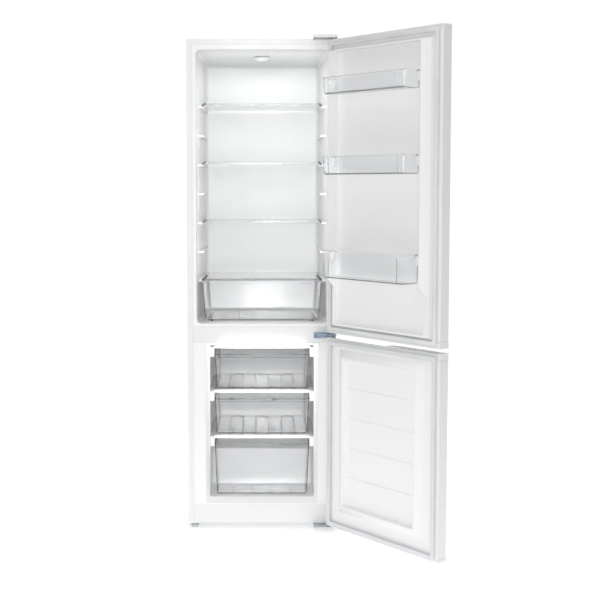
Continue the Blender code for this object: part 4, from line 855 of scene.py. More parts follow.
def round_off(node: str, *roundings: Rounding, finish: Finish | None = None) -> None:
    """Replaces a CAD node with a copy whose edges are rounded.

    Args:
        node: The CAD node.
        *roundings: The roundings, in order.
        finish: The copy's finish, or the one of the node's slot.
    """
    mesh = merged_copy(node)
    for rounding in roundings:
        mesh = rounding.applied(mesh)
    piece = add_piece(f"{node}_finished", mesh, finish or FINISHES[slot_of(node)], body_of(node))
    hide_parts(node)


def front_of(node: str, origin: Vector, direction: Vector) -> Vector:
    """Returns where a line first meets a CAD node.

    Args:
        node: The CAD node.
        origin: Where the line starts.
        direction: Where it goes.

    Returns:
        The place on the node's surface, or the origin where it misses.
    """
    bm = bmesh.new()
    bm.from_mesh(frame["nodes"][node].data)
    tree = BVHTree.FromBMesh(bm)
    bm.free()
    return tree.ray_cast(origin, direction)[0] or origin


def paint_node(node: str, finish: Finish | None = None) -> None:
    """Gives a CAD node its finish, or the one of its slot.

    Args:
        node: The CAD node.
        finish: The finish, where it isn't the one of the slot.
    """
    chosen = finish or FINISHES[slot_of(node)]
    materials = frame["nodes"][node].data.materials
    materials.clear()
    materials.append(chosen.material())
    LOG.info("%s: finished as %s", node, chosen.name)


# ---- grown pieces


class Recipe(Group):
    """A Geometry Nodes tree with named inputs that grows a plain mesh on a host."""

    def __init__(self, name: str, inputs: dict[str, object]) -> None:
        """Makes the tree with its sockets.

        Args:
            name: The tree's name.
            inputs: Each input's default value, by name.
        """
        sockets = {"Geometry": "NodeSocketGeometry", **inputs, "Material": "NodeSocketMaterial"}
        super().__init__(name, sockets, {"Geometry": "NodeSocketGeometry"}, "GeometryNodeTree")

    def row(self) -> Socket:
        """Adds a line of points from the inputs Count, Start and Step.

        Returns:
            The line's points.
        """
        places = {"Start Location": self.given("Start"), "Offset": self.given("Step")}
        inputs = {"Count": self.given("Count"), **places}
        return self.add("GeometryNodeMeshLine", inputs, mode="OFFSET").outputs[0]

    def turned(self) -> Socket:
        """Adds the rotation of the input Turn."""
        return self.add("FunctionNodeEulerToRotation", {0: self.given("Turn")}).outputs[0]

    def spread(self, points: Socket, thing: Socket, turn: Socket | Triple = NOWHERE) -> Socket:
        """Adds a copy of a thing at each point."""
        inputs = {"Points": points, "Instance": thing, "Rotation": turn}
        return self.add("GeometryNodeInstanceOnPoints", inputs).outputs[0]

    def closed(self, geometry: Socket) -> "Recipe":
        """Ends the tree in Realize Instances and Set Material, and returns the recipe.

        Args:
            geometry: What the tree has built.

        Returns:
            The recipe.
        """
        real = self.add("GeometryNodeRealizeInstances", {0: geometry}).outputs[0]
        inputs = {"Geometry": real, "Material": self.given("Material")}
        self.put("Geometry", self.add("GeometryNodeSetMaterial", inputs).outputs[0])
        return self

    def grow(self, name: str, points: Iterable[Vector], finish: Finish, **values: object) -> Mesh:
        """Grows the tree on a host of points joined in a line.

        Args:
            name: The new mesh's name.
            points: The host's points.
            finish: What the mesh is made of.
            **values: The inputs that differ from their defaults.

        Returns:
            The plain mesh.
        """
        places = [tuple(point) for point in points]
        host_mesh = bpy.data.meshes.new(f"{name}_host")
        host_mesh.from_pydata(places, [(step, step + 1) for step in range(len(places) - 1)], [])
        host = linked_object(f"{name}_host", host_mesh)
        modifier = host.modifiers.new("grow", "NODES")
        modifier.node_group = self.tree
        for label, value in {"Material": finish.material(), **values}.items():
            modifier[self.ids[label]] = value
        mesh = plain_mesh(host)
        mesh.name = name
        return mesh


def bar_row_recipe() -> Recipe:
    """Builds equal bars in a row: ribs, struts, clips and lines.

    Returns:
        The recipe.
    """
    places = {"Count": 4, "Start": NOWHERE, "Step": (0.0, 0.0, 0.1)}
    recipe = Recipe("bar_row", {**places, "Size": (0.1, 0.01, 0.01), "Turn": NOWHERE})
    bar = recipe.add("GeometryNodeMeshCube", {"Size": recipe.given("Size")}).outputs[0]
    return recipe.closed(recipe.spread(recipe.row(), bar, recipe.turned()))


def wire_row_recipe() -> Recipe:
    """Builds equal round wires in a row, each standing upright.

    Returns:
        The recipe.
    """
    places = {"Count": 40, "Start": NOWHERE, "Step": (0.01, 0.0, 0.0)}
    recipe = Recipe("wire_row", {**places, "Radius": 0.0008, "Length": 1.0})
    sizes = {"Radius": recipe.given("Radius"), "Depth": recipe.given("Length")}
    wire = recipe.add("GeometryNodeMeshCylinder", {"Vertices": 6, "Side Segments": 1, **sizes}).outputs[0]
    return recipe.closed(recipe.spread(recipe.row(), wire))


def tube_recipe() -> Recipe:
    """Builds a round tube along a path, with rounded corners and closed ends.

    Returns:
        The recipe.
    """
    recipe = Recipe("tube_path", {"Radius": 0.003, "Corner": 0.01, "Sides": 12})
    path = recipe.add("GeometryNodeMeshToCurve", {0: recipe.given("Geometry")}).outputs[0]
    corners = {"Curve": path, "Radius": recipe.given("Corner"), "Limit Radius": True, "Count": 5}
    bent = recipe.add("GeometryNodeFilletCurve", corners, mode="POLY").outputs[0]
    circle = {"Resolution": recipe.given("Sides"), "Radius": recipe.given("Radius")}
    ring = recipe.add("GeometryNodeCurvePrimitiveCircle", circle).outputs[0]
    sweep = {"Curve": bent, "Profile Curve": ring, "Fill Caps": True}
    swept = recipe.add("GeometryNodeCurveToMesh", sweep).outputs[0]
    return recipe.closed(recipe.add("GeometryNodeSetShadeSmooth", {0: swept}).outputs[0])


def ring_recipe() -> Recipe:
    """Builds small bars round a circle, each pointing at its middle.

    Returns:
        The recipe.
    """
    recipe = Recipe("bar_ring", {"Count": 24, "Radius": 0.03, "Size": (0.004, 0.001, 0.001)})
    sizes = {"Vertices": recipe.given("Count"), "Radius": recipe.given("Radius")}
    circle = recipe.add("GeometryNodeMeshCircle", sizes).outputs[0]
    bar = recipe.add("GeometryNodeMeshCube", {"Size": recipe.given("Size")}).outputs[0]
    place = recipe.add("GeometryNodeInputPosition").outputs[0]
    aim = recipe.add("FunctionNodeAlignRotationToVector", {"Vector": place}, axis="X").outputs[0]
    ticks = recipe.spread(circle, bar, aim)
    return recipe.closed(recipe.spread(recipe.given("Geometry"), ticks))


def screw_recipe() -> Recipe:
    """Builds pan-head screws with a cross slot, one at each point of the host.

    Returns:
        The recipe.
    """
    recipe = Recipe("screw_heads", {"Radius": 0.004, "Turn": NOWHERE})
    radius = recipe.given("Radius")

    def share(part: float) -> Socket:
        """Adds a share of the head's radius."""
        return recipe.math("MULTIPLY", radius, part)

    sizes = {"Radius Top": share(HEAD_TOP), "Radius Bottom": radius, "Depth": share(HEAD_HEIGHT)}
    head = recipe.add("GeometryNodeMeshCone", {"Vertices": 20, "Side Segments": 1, **sizes}).outputs[0]
    arm_sizes = {0: share(CROSS_LENGTH), 1: share(CROSS_WIDTH), 2: radius}
    arm_size = recipe.add("ShaderNodeCombineXYZ", arm_sizes)
    arm = recipe.add("GeometryNodeMeshCube", {"Size": arm_size.outputs[0]}).outputs[0]
    quarter = {"Geometry": arm, "Rotation": (0, 0, math.pi / 2)}
    other = recipe.add("GeometryNodeTransform", quarter).outputs[0]
    both = recipe.add("GeometryNodeJoinGeometry")
    for item in (arm, other):
        recipe.join(item, both.inputs[0])
    lift = recipe.add("ShaderNodeCombineXYZ", {2: share(CROSS_RISE)}).outputs[0]
    cross = recipe.add("GeometryNodeTransform", {"Geometry": both.outputs[0], "Translation": lift})
    shapes = {"Mesh 1": head, "Mesh 2": cross.outputs[0]}
    cut = recipe.add("GeometryNodeMeshBoolean", shapes, operation="DIFFERENCE").outputs[0]
    return recipe.closed(recipe.spread(recipe.given("Geometry"), cut, recipe.turned()))


@dataclass
class Kit:
    """The recipes that the sub-assemblies share."""

    bars: Recipe = field(default_factory=bar_row_recipe)
    wires: Recipe = field(default_factory=wire_row_recipe)
    tubes: Recipe = field(default_factory=tube_recipe)
    rings: Recipe = field(default_factory=ring_recipe)
    screws: Recipe = field(default_factory=screw_recipe)

    def bar_row(
        self,
        name: str,
        finish: Finish,
        body: str,
        start: Vector,
        size: Vector,
        soft: float,
        count: int = 1,
        step: Vector = Vector(),
        turn: Vector = Vector(),
    ) -> None:
        """Adds a row of bars as one piece.

        Args:
            name: The piece's name.
            finish: Its finish.
            body: The body that it moves with.
            start: The first bar's middle.
            size: A bar's size before it is turned.
            soft: The radius of the bars' edges.
            count: How many bars.
            step: From one bar to the next.
            turn: A bar's Euler turn, in radians.
        """
        values = {"Count": count, "Start": start, "Step": step, "Size": size, "Turn": turn}
        mesh = Rounding(soft, 3).applied(self.bars.grow(name, [Vector()], finish, **values))
        add_piece(name, mesh, finish, body)

    def tube(
        self, name: str, finish: Finish, body: str, points: list[Vector], radius: float, corner: float = 0.01
    ) -> None:
        """Adds a tube along a path as one piece.

        Args:
            name: The piece's name.
            finish: Its finish.
            body: The body that it moves with.
            points: The path's corners.
            radius: The tube's radius.
            corner: The radius of its bends.
        """
        mesh = self.tubes.grow(name, points, finish, Radius=radius, Corner=corner)
        add_piece(name, mesh, finish, body)

    def screw_set(
        self, name: str, body: str, places: list[Vector], turn: Vector, radius: float = 0.004
    ) -> None:
        """Adds screws that all face one way as one piece.

        Args:
            name: The piece's name.
            body: The body that they move with.
            places: Their places.
            turn: The Euler turn from facing up.
            radius: A head's radius.
        """
        mesh = self.screws.grow(name, places, SCREW_STEEL, Radius=radius, Turn=turn)
        add_piece(name, mesh, SCREW_STEEL, body)


# ---- cabinet


@dataclass
class Cabinet:
    """The steel cabinet, its rails, liners and back."""

    kit: Kit
    back_screws: int = 6
    screw_inset: float = 0.010
    panel_rise: float = 0.15

    def build(self) -> None:
        """Finishes the standing shell and adds its screws."""
        for node in ("cabinet_shell", "middle_rail", "bottom_rail", "back_panel", "base_plate"):
            round_off(node, SHEET)
        for node in ("fridge_liner", "freezer_liner"):
            round_off(node, SHELL)
        for node in ("cabinet_insulation", "fridge_evaporator"):
            paint_node(node)
        self.add_back_screws()

    def add_back_screws(self) -> None:
        """Adds the screws that hold the back panel, down both sides."""
        low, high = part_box("back_panel")
        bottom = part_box("freezer_liner")[0].z + self.panel_rise
        step = (high.z - bottom - 2 * self.screw_inset) / (self.back_screws - 1)
        heights = [bottom + self.screw_inset + step * index for index in range(self.back_screws)]
        sides = (low.x + self.screw_inset, high.x - self.screw_inset)
        places = [Vector((x, high.y, z)) for x in sides for z in heights]
        self.kit.screw_set("back_panel_screws", Body.CABINET.value, places, FACING_BACK)


@dataclass
class Hinges:
    """The hinge brackets, the cover over the top one, the feet and the rollers."""

    kit: Kit
    screw_shares: Span = (0.14, 0.42)
    screw_radius: float = 0.0036
    reach: float = 0.1

    def build(self) -> None:
        """Finishes the brackets, feet and rollers and adds their screws."""
        round_off("middle_hinge", BRACKET)
        for node in ("top_hinge", "bottom_hinge"):
            round_off(node, BRACKET, finish=PALE_ZINC)
        round_off("top_hinge_cover", SHELL)
        for side in ("left", "right"):
            paint_node(f"front_foot_{side}", PALE_FOOT)
            paint_node(f"rear_roller_{side}")
        self.add_plate_screws()

    def add_plate_screws(self) -> None:
        """Adds the two screws on the middle hinge's plate."""
        low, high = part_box("middle_hinge")
        across = [low.x + share * (high.x - low.x) for share in self.screw_shares]
        starts = [Vector((x, low.y - self.reach, (low.z + high.z) / 2)) for x in across]
        places = [front_of("middle_hinge", start, Vector((0, 1, 0))) for start in starts]
        body = Body.CABINET.value
        self.kit.screw_set("middle_hinge_screws", body, places, FACING_FRONT, self.screw_radius)


# ---- fridge compartment


@dataclass
class FridgeCompartment:
    """Shelves, crisper and lamp."""

    kit: Kit
    strut: Triple = (0.018, 0.005, 0.0044)
    strut_lift: float = 0.0008
    cover_strut: Triple = (0.027, 0.006, 0.0068)
    cover_strut_lift: float = 0.0012
    strut_slope: float = math.radians(45)
    strut_gap: float = 0.0015
    strut_tuck: float = 0.002
    strut_soft: float = 0.0008
    rib_count: int = 6
    rib_section: Span = (0.0022, 0.0016)
    rib_share: float = 0.80
    rib_offset: Triple = (0.075, 0.004, 0.0068)
    rib_soft: float = 0.0006
    tick_count: int = 30
    tick_section: Span = (0.0016, 0.0012)
    tick_share: float = 0.45
    tick_depth: float = 0.0004

    def build(self) -> None:
        """Finishes what stands in the compartment and adds its small parts."""
        for word in ("shelf_upper", "shelf_middle", "shelf_lower", "crisper_cover"):
            round_off(f"{word}_glass", FOLDED)
            round_off(f"{word}_trim", SHELF_TRIM, finish=MILKY)
            self.add_shaded_end_struts(word)
        round_off("crisper_drawer", CLEAR_MOULDING)
        self.add_crisper_ribs()
        paint_node("lamp_lens")
        round_off("thermostat_dial", CAP)
        self.add_dial_ticks()

    def add_shaded_end_struts(self, word: str) -> None:
        """Adds the struts that hold a shelf's trim to its glass at both front ends, near-black as painted
        shade for the shadow line there.

        Args:
            word: Which shelf.
        """
        low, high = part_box(f"{word}_trim")
        size, z = Vector(self.strut), (low.z + high.z) / 2 + self.strut_lift
        if word == "crisper_cover":
            size, z = Vector(self.cover_strut), high.z + self.cover_strut_lift
        reach = size.x / 2 * math.cos(self.strut_slope) + self.strut_gap
        ends = (("left", low.x + reach, -self.strut_slope), ("right", high.x - reach, self.strut_slope))
        for side, x, slope in ends:
            start = Vector((x, low.y - size.y / 2 + self.strut_tuck, z))
            # The near-black finish here is painted shade, not the struts' own colour.
            self.kit.bar_row(
                f"{word}_strut_{side}",
                DARK_CLIP_AND_SHADE,
                Body.CABINET.value,
                start,
                size,
                self.strut_soft,
                turn=Vector((0, slope, 0)),
            )

    def add_crisper_ribs(self) -> None:
        """Adds the low ribs along the crisper's floor."""
        node = "crisper_drawer"
        low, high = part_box(node)
        inset, back, lift = self.rib_offset
        self.kit.bar_row(
            "crisper_floor_ribs",
            CLEAR_PLASTIC,
            body_of(node),
            Vector((low.x + inset, (low.y + high.y) / 2 + back, low.z + lift)),
            Vector((self.rib_section[0], (high.y - low.y) * self.rib_share, self.rib_section[1])),
            self.rib_soft,
            self.rib_count,
            Vector((((high.x - low.x) - 2 * inset) / (self.rib_count - 1), 0, 0)),
        )

    def add_dial_ticks(self) -> None:
        """Adds the grip ticks round the thermostat's dial."""
        name, dial = "dial_grip_ticks", "thermostat_dial"
        low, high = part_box(dial)
        size = Vector((*self.tick_section, (high.z - low.z) * self.tick_share))
        values = {"Count": self.tick_count, "Radius": (high.x - low.x) / 2 - self.tick_depth, "Size": size}
        mesh = self.kit.rings.grow(name, [(low + high) / 2], WHITE_PLASTIC, **values)
        add_piece(name, mesh, WHITE_PLASTIC, body_of(dial))


# ---- freezer compartment


@dataclass
class FreezerCompartment:
    """The evaporator shelves, the three drawers and the temperature sensor."""

    kit: Kit
    lip: float = 0.010
    rib_count: int = 4
    rib_size: Triple = (0.0060, 0.110, 0.0020)
    rib_offset: Triple = (0.068, 0.020, 0.0032)
    rib_soft: float = 0.0008
    rim: float = 0.0016
    rim_inset: float = 1.05
    rim_corner: float = 0.012
    line_drop: float = 0.012
    line_gap: float = 0.030
    line_height: float = 1.4
    line_soft: float = 0.0005
    sensor_height: float = 0.411
    sensor_gap: float = 0.0035
    sensor_ends: Span = (-0.170, 0.095)
    sensor_radius: float = 0.0022
    clip_size: Triple = (0.012, 0.007, 0.009)
    clip_start: float = -0.122
    clip_step: float = 0.170
    clip_soft: float = 0.001

    def build(self) -> None:
        """Finishes the evaporator and drawers and adds their small parts."""
        # The mid grey on the white tubes is painted shade.
        paint_node("freezer_evaporator", SHADED_TUBE_PAINT)
        for word in ("top", "middle", "bottom"):
            node = f"freezer_drawer_{word}"
            round_off(f"evaporator_trim_{word}", EVAPORATOR_TRIM)
            round_off(node, CLEAR_MOULDING)
            self.add_drawer_ribs(node)
            self.add_drawer_rim(node)
        self.add_sensor()

    def add_drawer_ribs(self, node: str) -> None:
        """Adds the ribs along a drawer's floor, behind its front.

        Args:
            node: The drawer.
        """
        low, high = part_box(node)
        size = Vector(self.rib_size)
        inset, behind, lift = self.rib_offset
        start = Vector((low.x + inset, low.y + self.lip + behind + size.y / 2, low.z + lift))
        step = Vector(((high.x - low.x - 2 * inset) / (self.rib_count - 1), 0, 0))
        body = body_of(node)
        self.kit.bar_row(
            f"{node}_ribs", CLEAR_PLASTIC, body, start, size, self.rib_soft, self.rib_count, step
        )

    def add_drawer_rim(self, node: str) -> None:
        """Adds the rolled rim round a drawer's top, and the line under it on the front.

        Args:
            node: The drawer.
        """
        low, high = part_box(node)
        body = body_of(node)
        inset = self.rim * self.rim_inset
        left, right, back = low.x + inset, high.x - inset, high.y - inset
        front, z = low.y + self.lip + inset, high.z - inset
        path = [Vector((x, y, z)) for x, y in ((left, back), (left, front), (right, front), (right, back))]
        self.kit.tube(f"{node}_rim", SMOKED, body, path, self.rim, self.rim_corner)
        start = Vector(((low.x + high.x) / 2, front + self.rim, z - self.line_drop))
        size = Vector((high.x - low.x - self.line_gap, self.rim, self.rim * self.line_height))
        self.kit.bar_row(f"{node}_front_line", SMOKED, body, start, size, self.line_soft)

    def add_sensor(self) -> None:
        """Adds the sensor's tube on the back wall with its two clips."""
        low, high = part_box("freezer_liner")
        centre = (low.x + high.x) / 2
        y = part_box("evaporator_trim_middle")[1].y + self.sensor_gap
        body = Body.CABINET.value
        path = [Vector((centre + end, y, self.sensor_height)) for end in self.sensor_ends]
        self.kit.tube("freezer_sensor_tube", GREY_PLASTIC, body, path, self.sensor_radius)
        start = Vector((centre + self.clip_start, y, self.sensor_height))
        step = Vector((self.clip_step, 0, 0))
        size = Vector(self.clip_size)
        self.kit.bar_row("freezer_sensor_clips", DARK_CLIP_AND_SHADE, body, start, size, self.clip_soft, 2, step)


# ---- doors


@dataclass
class DoorPlace:
    """A door's own axes: along from the hinge, out from its pin towards the room side, and up."""

    body: Body
    pivot: Vector = field(init=False)
    along: Vector = field(init=False)
    out: Vector = field(init=False)
    turn: float = field(init=False)

    def __post_init__(self) -> None:
        """Reads the hinge from the frame's joints."""
        joint = next(item for item in frame["joints"] if item["child"] == self.body.value)
        opened = math.radians(-joint["range_deg"][0])
        self.pivot = Vector((joint["pos_m"][0], joint["pos_m"][1], 0))
        self.along = Vector((-math.cos(opened), -math.sin(opened), 0))
        self.out = Vector((-math.sin(opened), math.cos(opened), 0))
        self.turn = math.atan2(self.along.y, self.along.x)

    def at(self, along: float, out: float, up: float) -> Vector:
        """Returns the point at the door's own coordinates."""
        return self.pivot + self.along * along + self.out * out + UP * up

    def local(self, point: Vector) -> Vector:
        """Returns a point's place in the door's own coordinates."""
        offset = point - self.pivot
        return Vector((offset.dot(self.along), offset.dot(self.out), point.z))

    def spots(self, node: str) -> list[Vector]:
        """Returns a node's vertices in the door's own coordinates."""
        return [self.local(vertex.co) for vertex in frame["nodes"][node].data.vertices]

    def box(self, node: str) -> tuple[Vector, Vector]:
        """Returns a node's lowest and highest corner in the door's own coordinates."""
        spots = self.spots(node)
        return Vector(map(min, *spots)), Vector(map(max, *spots))


@dataclass
class Door:
    """One door: skin, caps, formed liner and bellows seal."""

    kit: Kit
    body: Body
    place: DoorPlace = field(init=False)
    reach: float = 0.2
    crest_radius: float = 0.0060
    crest_start: float = 0.0035
    foot_radius: float = 0.0090
    foot_start: float = 0.0015
    ridge_steps: int = 6
    seal_margin: float = 0.002
    seal_half: tuple[Span, ...] = (
        (0.86, 0.00),
        (0.86, 0.14),
        (0.70, 0.20),
        (0.70, 0.27),
        (0.96, 0.38),
        (0.96, 0.46),
        (0.70, 0.56),
        (0.70, 0.62),
        (0.96, 0.68),
        (1.00, 0.74),
        (1.00, 0.94),
        (0.94, 1.00),
    )

    def __post_init__(self) -> None:
        """Finds where the door stands."""
        self.place = DoorPlace(self.body)

    def build(self) -> None:
        """Finishes the door's own nodes."""
        name = self.body.value
        round_off(f"{name}_skin", FOLDED)
        for end in ("top_cap", "bottom_cap"):
            round_off(f"{name}_{end}", CAP)
        paint_node(f"{name}_insulation")
        self.shape_liner(f"{name}_liner")
        self.add_seal(f"{name}_seal")

    def ridge_rounding(self, radius: float, edges: Edge, start: float) -> Rounding:
        """Returns a rounding of the edges that stand further out than a start."""
        return Rounding(radius, self.ridge_steps, edges, lambda point: self.place.local(point).y > start)

    def shape_liner(self, node: str) -> None:
        """Rounds the liner's ridges generously, as sheet drawn over a mould.

        Args:
            node: The door's liner.
        """
        base = self.place.box(node)[0].y
        crest = self.ridge_rounding(self.crest_radius, Edge.CONVEX, base + self.crest_start)
        foot = self.ridge_rounding(self.foot_radius, Edge.CONCAVE, base + self.foot_start)
        round_off(node, crest, foot)

    def add_seal(self, node: str) -> None:
        """Replaces the plain seal with a bellows profile, mitred at its corners.

        Args:
            node: The door's seal.
        """
        low, high = self.place.box(node)
        width = self.seal_width(node)
        mirrored = [(1 - across, lift) for across, lift in self.seal_half]
        profile = [mirrored[0], *self.seal_half, *reversed(mirrored[1:])]
        bm = bmesh.new()
        rings = []
        for side_u, side_z in ((0, 0), (1, 0), (1, 1), (0, 1)):
            ring = []
            for across, lift in profile:
                inset = width * across
                u = high.x - inset if side_u else low.x + inset
                z = high.z - inset if side_z else low.z + inset
                ring.append(bm.verts.new(self.place.at(u, low.y + (high.y - low.y) * lift, z)))
            rings.append(ring)
        for here, there in zip(rings, rings[1:] + rings[:1]):
            sides = zip(here, there, there[1:] + there[:1], here[1:] + here[:1])
            for side in sides:
                bm.faces.new(side)
        bmesh.ops.recalc_face_normals(bm, faces=bm.faces)
        mesh = mesh_from(bm, node)
        mesh.shade_smooth()
        mesh.set_sharp_from_angle(angle=SEAL_SHARP)
        piece = add_piece(f"{node}_bellows", mesh, SEAL, self.body.value)
        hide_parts(node)

    def seal_width(self, node: str) -> float:
        """Returns how wide the seal's strip is.

        Args:
            node: The door's seal.

        Returns:
            The strip's width.
        """
        low, high = self.place.box(node)
        start, middle = low.x + self.seal_margin, (low.x + high.x) / 2
        return min(spot.x for spot in self.place.spots(node) if start < spot.x < middle) - low.x

    def on_liner(self, node: str, along: float, up: float) -> Vector:
        """Returns the point on the liner's room side at a place along and up the door."""
        return front_of(node, self.place.at(along, self.reach, up), -self.place.out)


@dataclass
class FridgeDoor(Door):
    """The upper door with its three balconies."""

    bead: float = 0.0016
    bead_inset: float = 0.6
    bead_end: float = 0.012
    bead_corner: float = 0.008
    rib_place: Span = (0.034, 0.0042)
    rib_section: Span = (0.0022, 0.0028)
    rib_gap: float = 0.012
    rib_soft: float = 0.0006
    line_offset: Triple = (0.012, 0.006, 0.0042)
    line_radius: float = 0.0011

    def build(self) -> None:
        """Finishes the door and its balconies."""
        super().build()
        for word in ("top", "middle", "bottom"):
            node = f"balcony_{word}"
            round_off(node, CLEAR_MOULDING)
            self.add_bead(node)
            self.add_end_ribs(node)
            self.add_foot_line(node)

    def add_bead(self, node: str) -> None:
        """Adds the rolled bead round a balcony's top.

        Args:
            node: The balcony.
        """
        low, high = self.place.box(node)
        inset = self.bead * self.bead_inset
        left, right, front, back = low.x + inset, high.x - inset, high.y - inset, low.y + self.bead_end
        corners = ((left, back), (left, front), (right, front), (right, back))
        path = [self.place.at(along, out, high.z) for along, out in corners]
        self.kit.tube(f"{node}_bead", CLEAR_PLASTIC, body_of(node), path, self.bead, self.bead_corner)

    def add_end_ribs(self, node: str) -> None:
        """Adds the upright ribs near both ends of a balcony's front.

        Args:
            node: The balcony.
        """
        low, high = self.place.box(node)
        along, tuck = self.rib_place
        self.kit.bar_row(
            f"{node}_end_ribs",
            SMOKED,
            body_of(node),
            self.place.at(low.x + along, high.y - tuck, (low.z + high.z) / 2),
            Vector((*self.rib_section, high.z - low.z - self.rib_gap)),
            self.rib_soft,
            2,
            self.place.along * (high.x - low.x - 2 * along),
            Vector((0, 0, self.place.turn)),
        )

    def add_foot_line(self, node: str) -> None:
        """Adds the line along the foot of a balcony's front.

        Args:
            node: The balcony.
        """
        low, high = self.place.box(node)
        end, tuck, lift = self.line_offset
        line = [self.place.at(u, high.y - tuck, low.z + lift) for u in (low.x + end, high.x - end)]
        self.kit.tube(f"{node}_foot_line", SMOKED, body_of(node), line, self.line_radius)


@dataclass
class FreezerDoor(Door):
    """The lower door with the ribs across its liner."""

    rib_count: int = 4
    rib_heights: Span = (0.225, 0.549)
    rib_middle_height: float = 0.38775
    rib_ends: Span = (0.100, 0.410)
    rib_section: Span = (0.004, 0.006)
    rib_soft: float = 0.0018
    screw_offset: Span = (0.062, 0.009)
    screw_radius: float = 0.003
    node: str = "freezer_door_liner"

    def build(self) -> None:
        """Finishes the door and adds its ribs and screws."""
        super().build()
        self.add_ribs()
        self.add_flange_screws()

    def add_ribs(self) -> None:
        """Adds the ribs across the liner's recess."""
        middle = sum(self.rib_ends) / 2
        surface = self.place.local(self.on_liner(self.node, middle, self.rib_middle_height)).y
        bottom, top = self.rib_heights
        self.kit.bar_row(
            "freezer_door_ribs",
            LINER,
            self.body.value,
            self.place.at(middle, surface, bottom),
            Vector((self.rib_ends[1] - self.rib_ends[0], *self.rib_section)),
            self.rib_soft,
            self.rib_count,
            UP * ((top - bottom) / (self.rib_count - 1)),
            Vector((0, 0, self.place.turn)),
        )

    def add_flange_screws(self) -> None:
        """Adds the two screws low on the liner's flange."""
        low, high = self.place.box(self.node)
        inset, lift = self.screw_offset
        ends = (low.x + inset, high.x - inset)
        places = [self.on_liner(self.node, along, low.z + lift) for along in ends]
        turn = Vector((math.pi / 2, 0, self.place.turn + math.pi))
        self.kit.screw_set("freezer_door_screws", self.body.value, places, turn, self.screw_radius)


# ---- machine bay


@dataclass
class MachineBay:
    """The compressor, its tubes and the condenser on the back."""

    kit: Kit
    wire_radius: float = 0.0008
    wire_pitch: float = 0.0080
    wire_bite: float = 0.6
    tube_radius: float = 0.0027
    bottom_gap: float = 0.028
    top_gap: float = 0.002
    left_gap: float = 0.014
    right_gap: float = 0.008

    def build(self) -> None:
        """Finishes the cold side's works and adds the condenser's wires."""
        tubes = ("discharge_tube", "suction_tube", "drain_tube")
        for node in ("condenser", *tubes, "filter_drier", "compressor"):
            paint_node(node)
        for node in ("compressor_mount", "terminal_box", "evaporation_tray"):
            round_off(node, FOLDED)
        self.add_wires()

    def add_wires(self) -> None:
        """Adds the wires welded to both sides of the condenser's tubes."""
        low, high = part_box("condenser")
        bottom = low.z + self.bottom_gap
        length = high.z - bottom - self.top_gap
        left, right = low.x + self.left_gap, high.x - self.right_gap
        offset = self.tube_radius + self.wire_radius * self.wire_bite
        values = {"Count": int((right - left) / self.wire_pitch) + 1, "Length": length}
        for side, word in ((1, "rear"), (-1, "front")):
            name = f"condenser_wires_{word}"
            start = Vector((left, high.y - self.tube_radius + side * offset, bottom + length / 2))
            step = Vector((self.wire_pitch, 0, 0))
            mesh = self.kit.wires.grow(
                name, [Vector()], BLACK_ENAMEL, Start=start, Step=step, Radius=self.wire_radius, **values
            )
            add_piece(name, mesh, BLACK_ENAMEL, Body.CABINET.value)


# ---- studio


@dataclass(frozen=True)
class Softbox:
    """A large soft light."""

    name: str
    place: Triple
    target: Triple
    size: Span
    power: float
    mirrored: bool = True


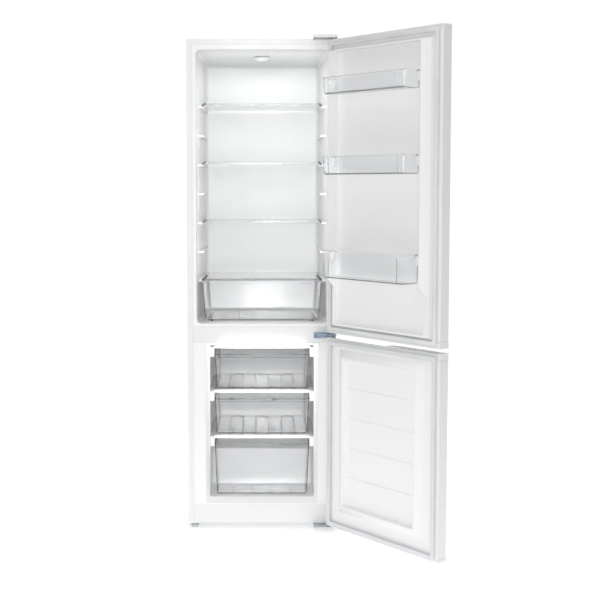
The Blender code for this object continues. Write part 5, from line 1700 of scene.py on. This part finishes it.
@dataclass
class Studio:
    """The pale floor, the soft lights and the camera."""

    side: float = 0.0106
    distance: float = 4.0506
    height: float = 1.2728
    lens: float = 66.61
    sensor: float = 36.0
    pitch: float = 4.04
    shift: Span = (0.0586, -0.06)
    ambient: float = 0.235
    backdrop: float = 1.02
    floor_size: float = 14.0
    boxes: tuple[Softbox, ...] = (
        Softbox("front_strip", (-0.17, -4.4, 1.8), (-0.17, 0.0, 0.95), (0.36, 2.0), 17.0),
        Softbox("front_softbox", (-0.17, -4.4, 1.6), (-0.17, 0.0, 0.95), (0.9, 2.0), 36.0),
        Softbox("low_softbox", (-0.17, -4.2, 0.35), (-0.17, 0.0, 0.4), (1.6, 0.6), 0.9),
        Softbox("right_softbox", (3.2, -3.2, 1.6), (0.3, -0.3, 0.9), (2.4, 2.4), 17.0),
        Softbox("left_softbox", (-3.4, -3.2, 1.7), (0.1, 0.0, 0.9), (3.0, 3.0), 28.0),
        Softbox("top_softbox", (0.0, -0.6, 4.2), (0.0, -0.1, 0.0), (4.0, 4.0), 52.0),
        Softbox("cabinet_lamp", (-0.17, 0.157, 1.742), (-0.17, 0.17, 0.8), (0.30, 0.20), 0.35, False),
        Softbox("cabinet_fill", (-0.17, -0.02, 1.22), (-0.17, 0.4, 1.22), (0.40, 0.90), 1.3, False),
        Softbox("freezer_fill", (-0.17, -0.034, 0.47), (-0.17, 0.4, 0.50), (0.30, 0.46), 0.8, False),
        Softbox("rear_softbox", (0.0, 4.4, 2.4), (0.0, 0.0, 0.9), (1.8, 2.2), 90.0),
    )

    def build(self) -> None:
        """Builds the studio."""
        self.add_floor()
        self.add_world()
        for softbox in self.boxes:
            self.add_light(softbox)
        self.add_camera()
        bpy.context.scene.view_settings.view_transform = "Standard"
        LOG.info("studio: %d softboxes", len(self.boxes))

    def add_floor(self) -> None:
        """Lays the floor under the feet."""
        bm = bmesh.new()
        bmesh.ops.create_grid(bm, x_segments=4, y_segments=4, size=self.floor_size / 2)
        mesh = mesh_from(bm, FLOOR.name)
        mesh.materials.append(FLOOR.material())
        linked_object(FLOOR.name, mesh)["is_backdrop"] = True

    def add_world(self) -> None:
        """Surrounds the scene with an even white, brighter where it is seen directly."""
        world = bpy.data.worlds.new("studio")
        bpy.context.scene.world = world
        world.use_nodes = True
        world.node_tree.nodes.clear()
        bench = Bench(world.node_tree)
        seen = bench.add("ShaderNodeLightPath").outputs["Is Camera Ray"]
        strength = bench.ramp(seen, 0.0, 1.0, self.ambient, self.backdrop)
        light = bench.add("ShaderNodeBackground", {0: WHITE, 1: strength})
        bench.add("ShaderNodeOutputWorld", {0: light.outputs[0]})

    def add_light(self, softbox: Softbox) -> None:
        """Adds one soft light.

        Args:
            softbox: Its place, aim, size and power.
        """
        data = bpy.data.lights.new(softbox.name, "AREA")
        data.shape = "RECTANGLE"
        data.size, data.size_y = softbox.size
        data.energy = softbox.power
        light = linked_object(softbox.name, data)
        light.location = softbox.place
        aim = Vector(softbox.target) - Vector(softbox.place)
        light.rotation_euler = aim.to_track_quat("-Z", "Y").to_euler()
        light.visible_camera = False
        light.visible_glossy = softbox.mirrored
        light.visible_transmission = softbox.mirrored

    def add_camera(self) -> None:
        """Stands the camera in front of the cabinet, a little right of its middle line."""
        low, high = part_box("cabinet_shell")
        data = bpy.data.cameras.new("camera")
        data.lens = self.lens
        data.sensor_width = self.sensor
        data.shift_x, data.shift_y = self.shift
        camera = linked_object("camera", data)
        camera.location = ((low.x + high.x) / 2 + self.side, low.y - self.distance, self.height)
        camera.rotation_euler = (math.radians(90 - self.pitch), 0, 0)
        bpy.context.scene.camera = camera


def write_sizes() -> None:
    """Gathers the CAD box and the finished model's box as plain lists."""
    boxes = {"cad": CAD_BOX, "visual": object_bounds()}
    plain = {name: [list(corner) for corner in box] for name, box in boxes.items()}


def main() -> None:
    """Builds the refrigerator's finished look."""
    logging.basicConfig(level=logging.INFO, format="%(name)s: %(message)s")
    kit = Kit()
    Studio().build()
    Cabinet(kit).build()
    Hinges(kit).build()
    FridgeCompartment(kit).build()
    FreezerCompartment(kit).build()
    FridgeDoor(kit, Body.FRIDGE_DOOR).build()
    FreezerDoor(kit, Body.FREEZER_DOOR).build()
    MachineBay(kit).build()
    write_sizes()


if __name__ == "__main__":
    main()
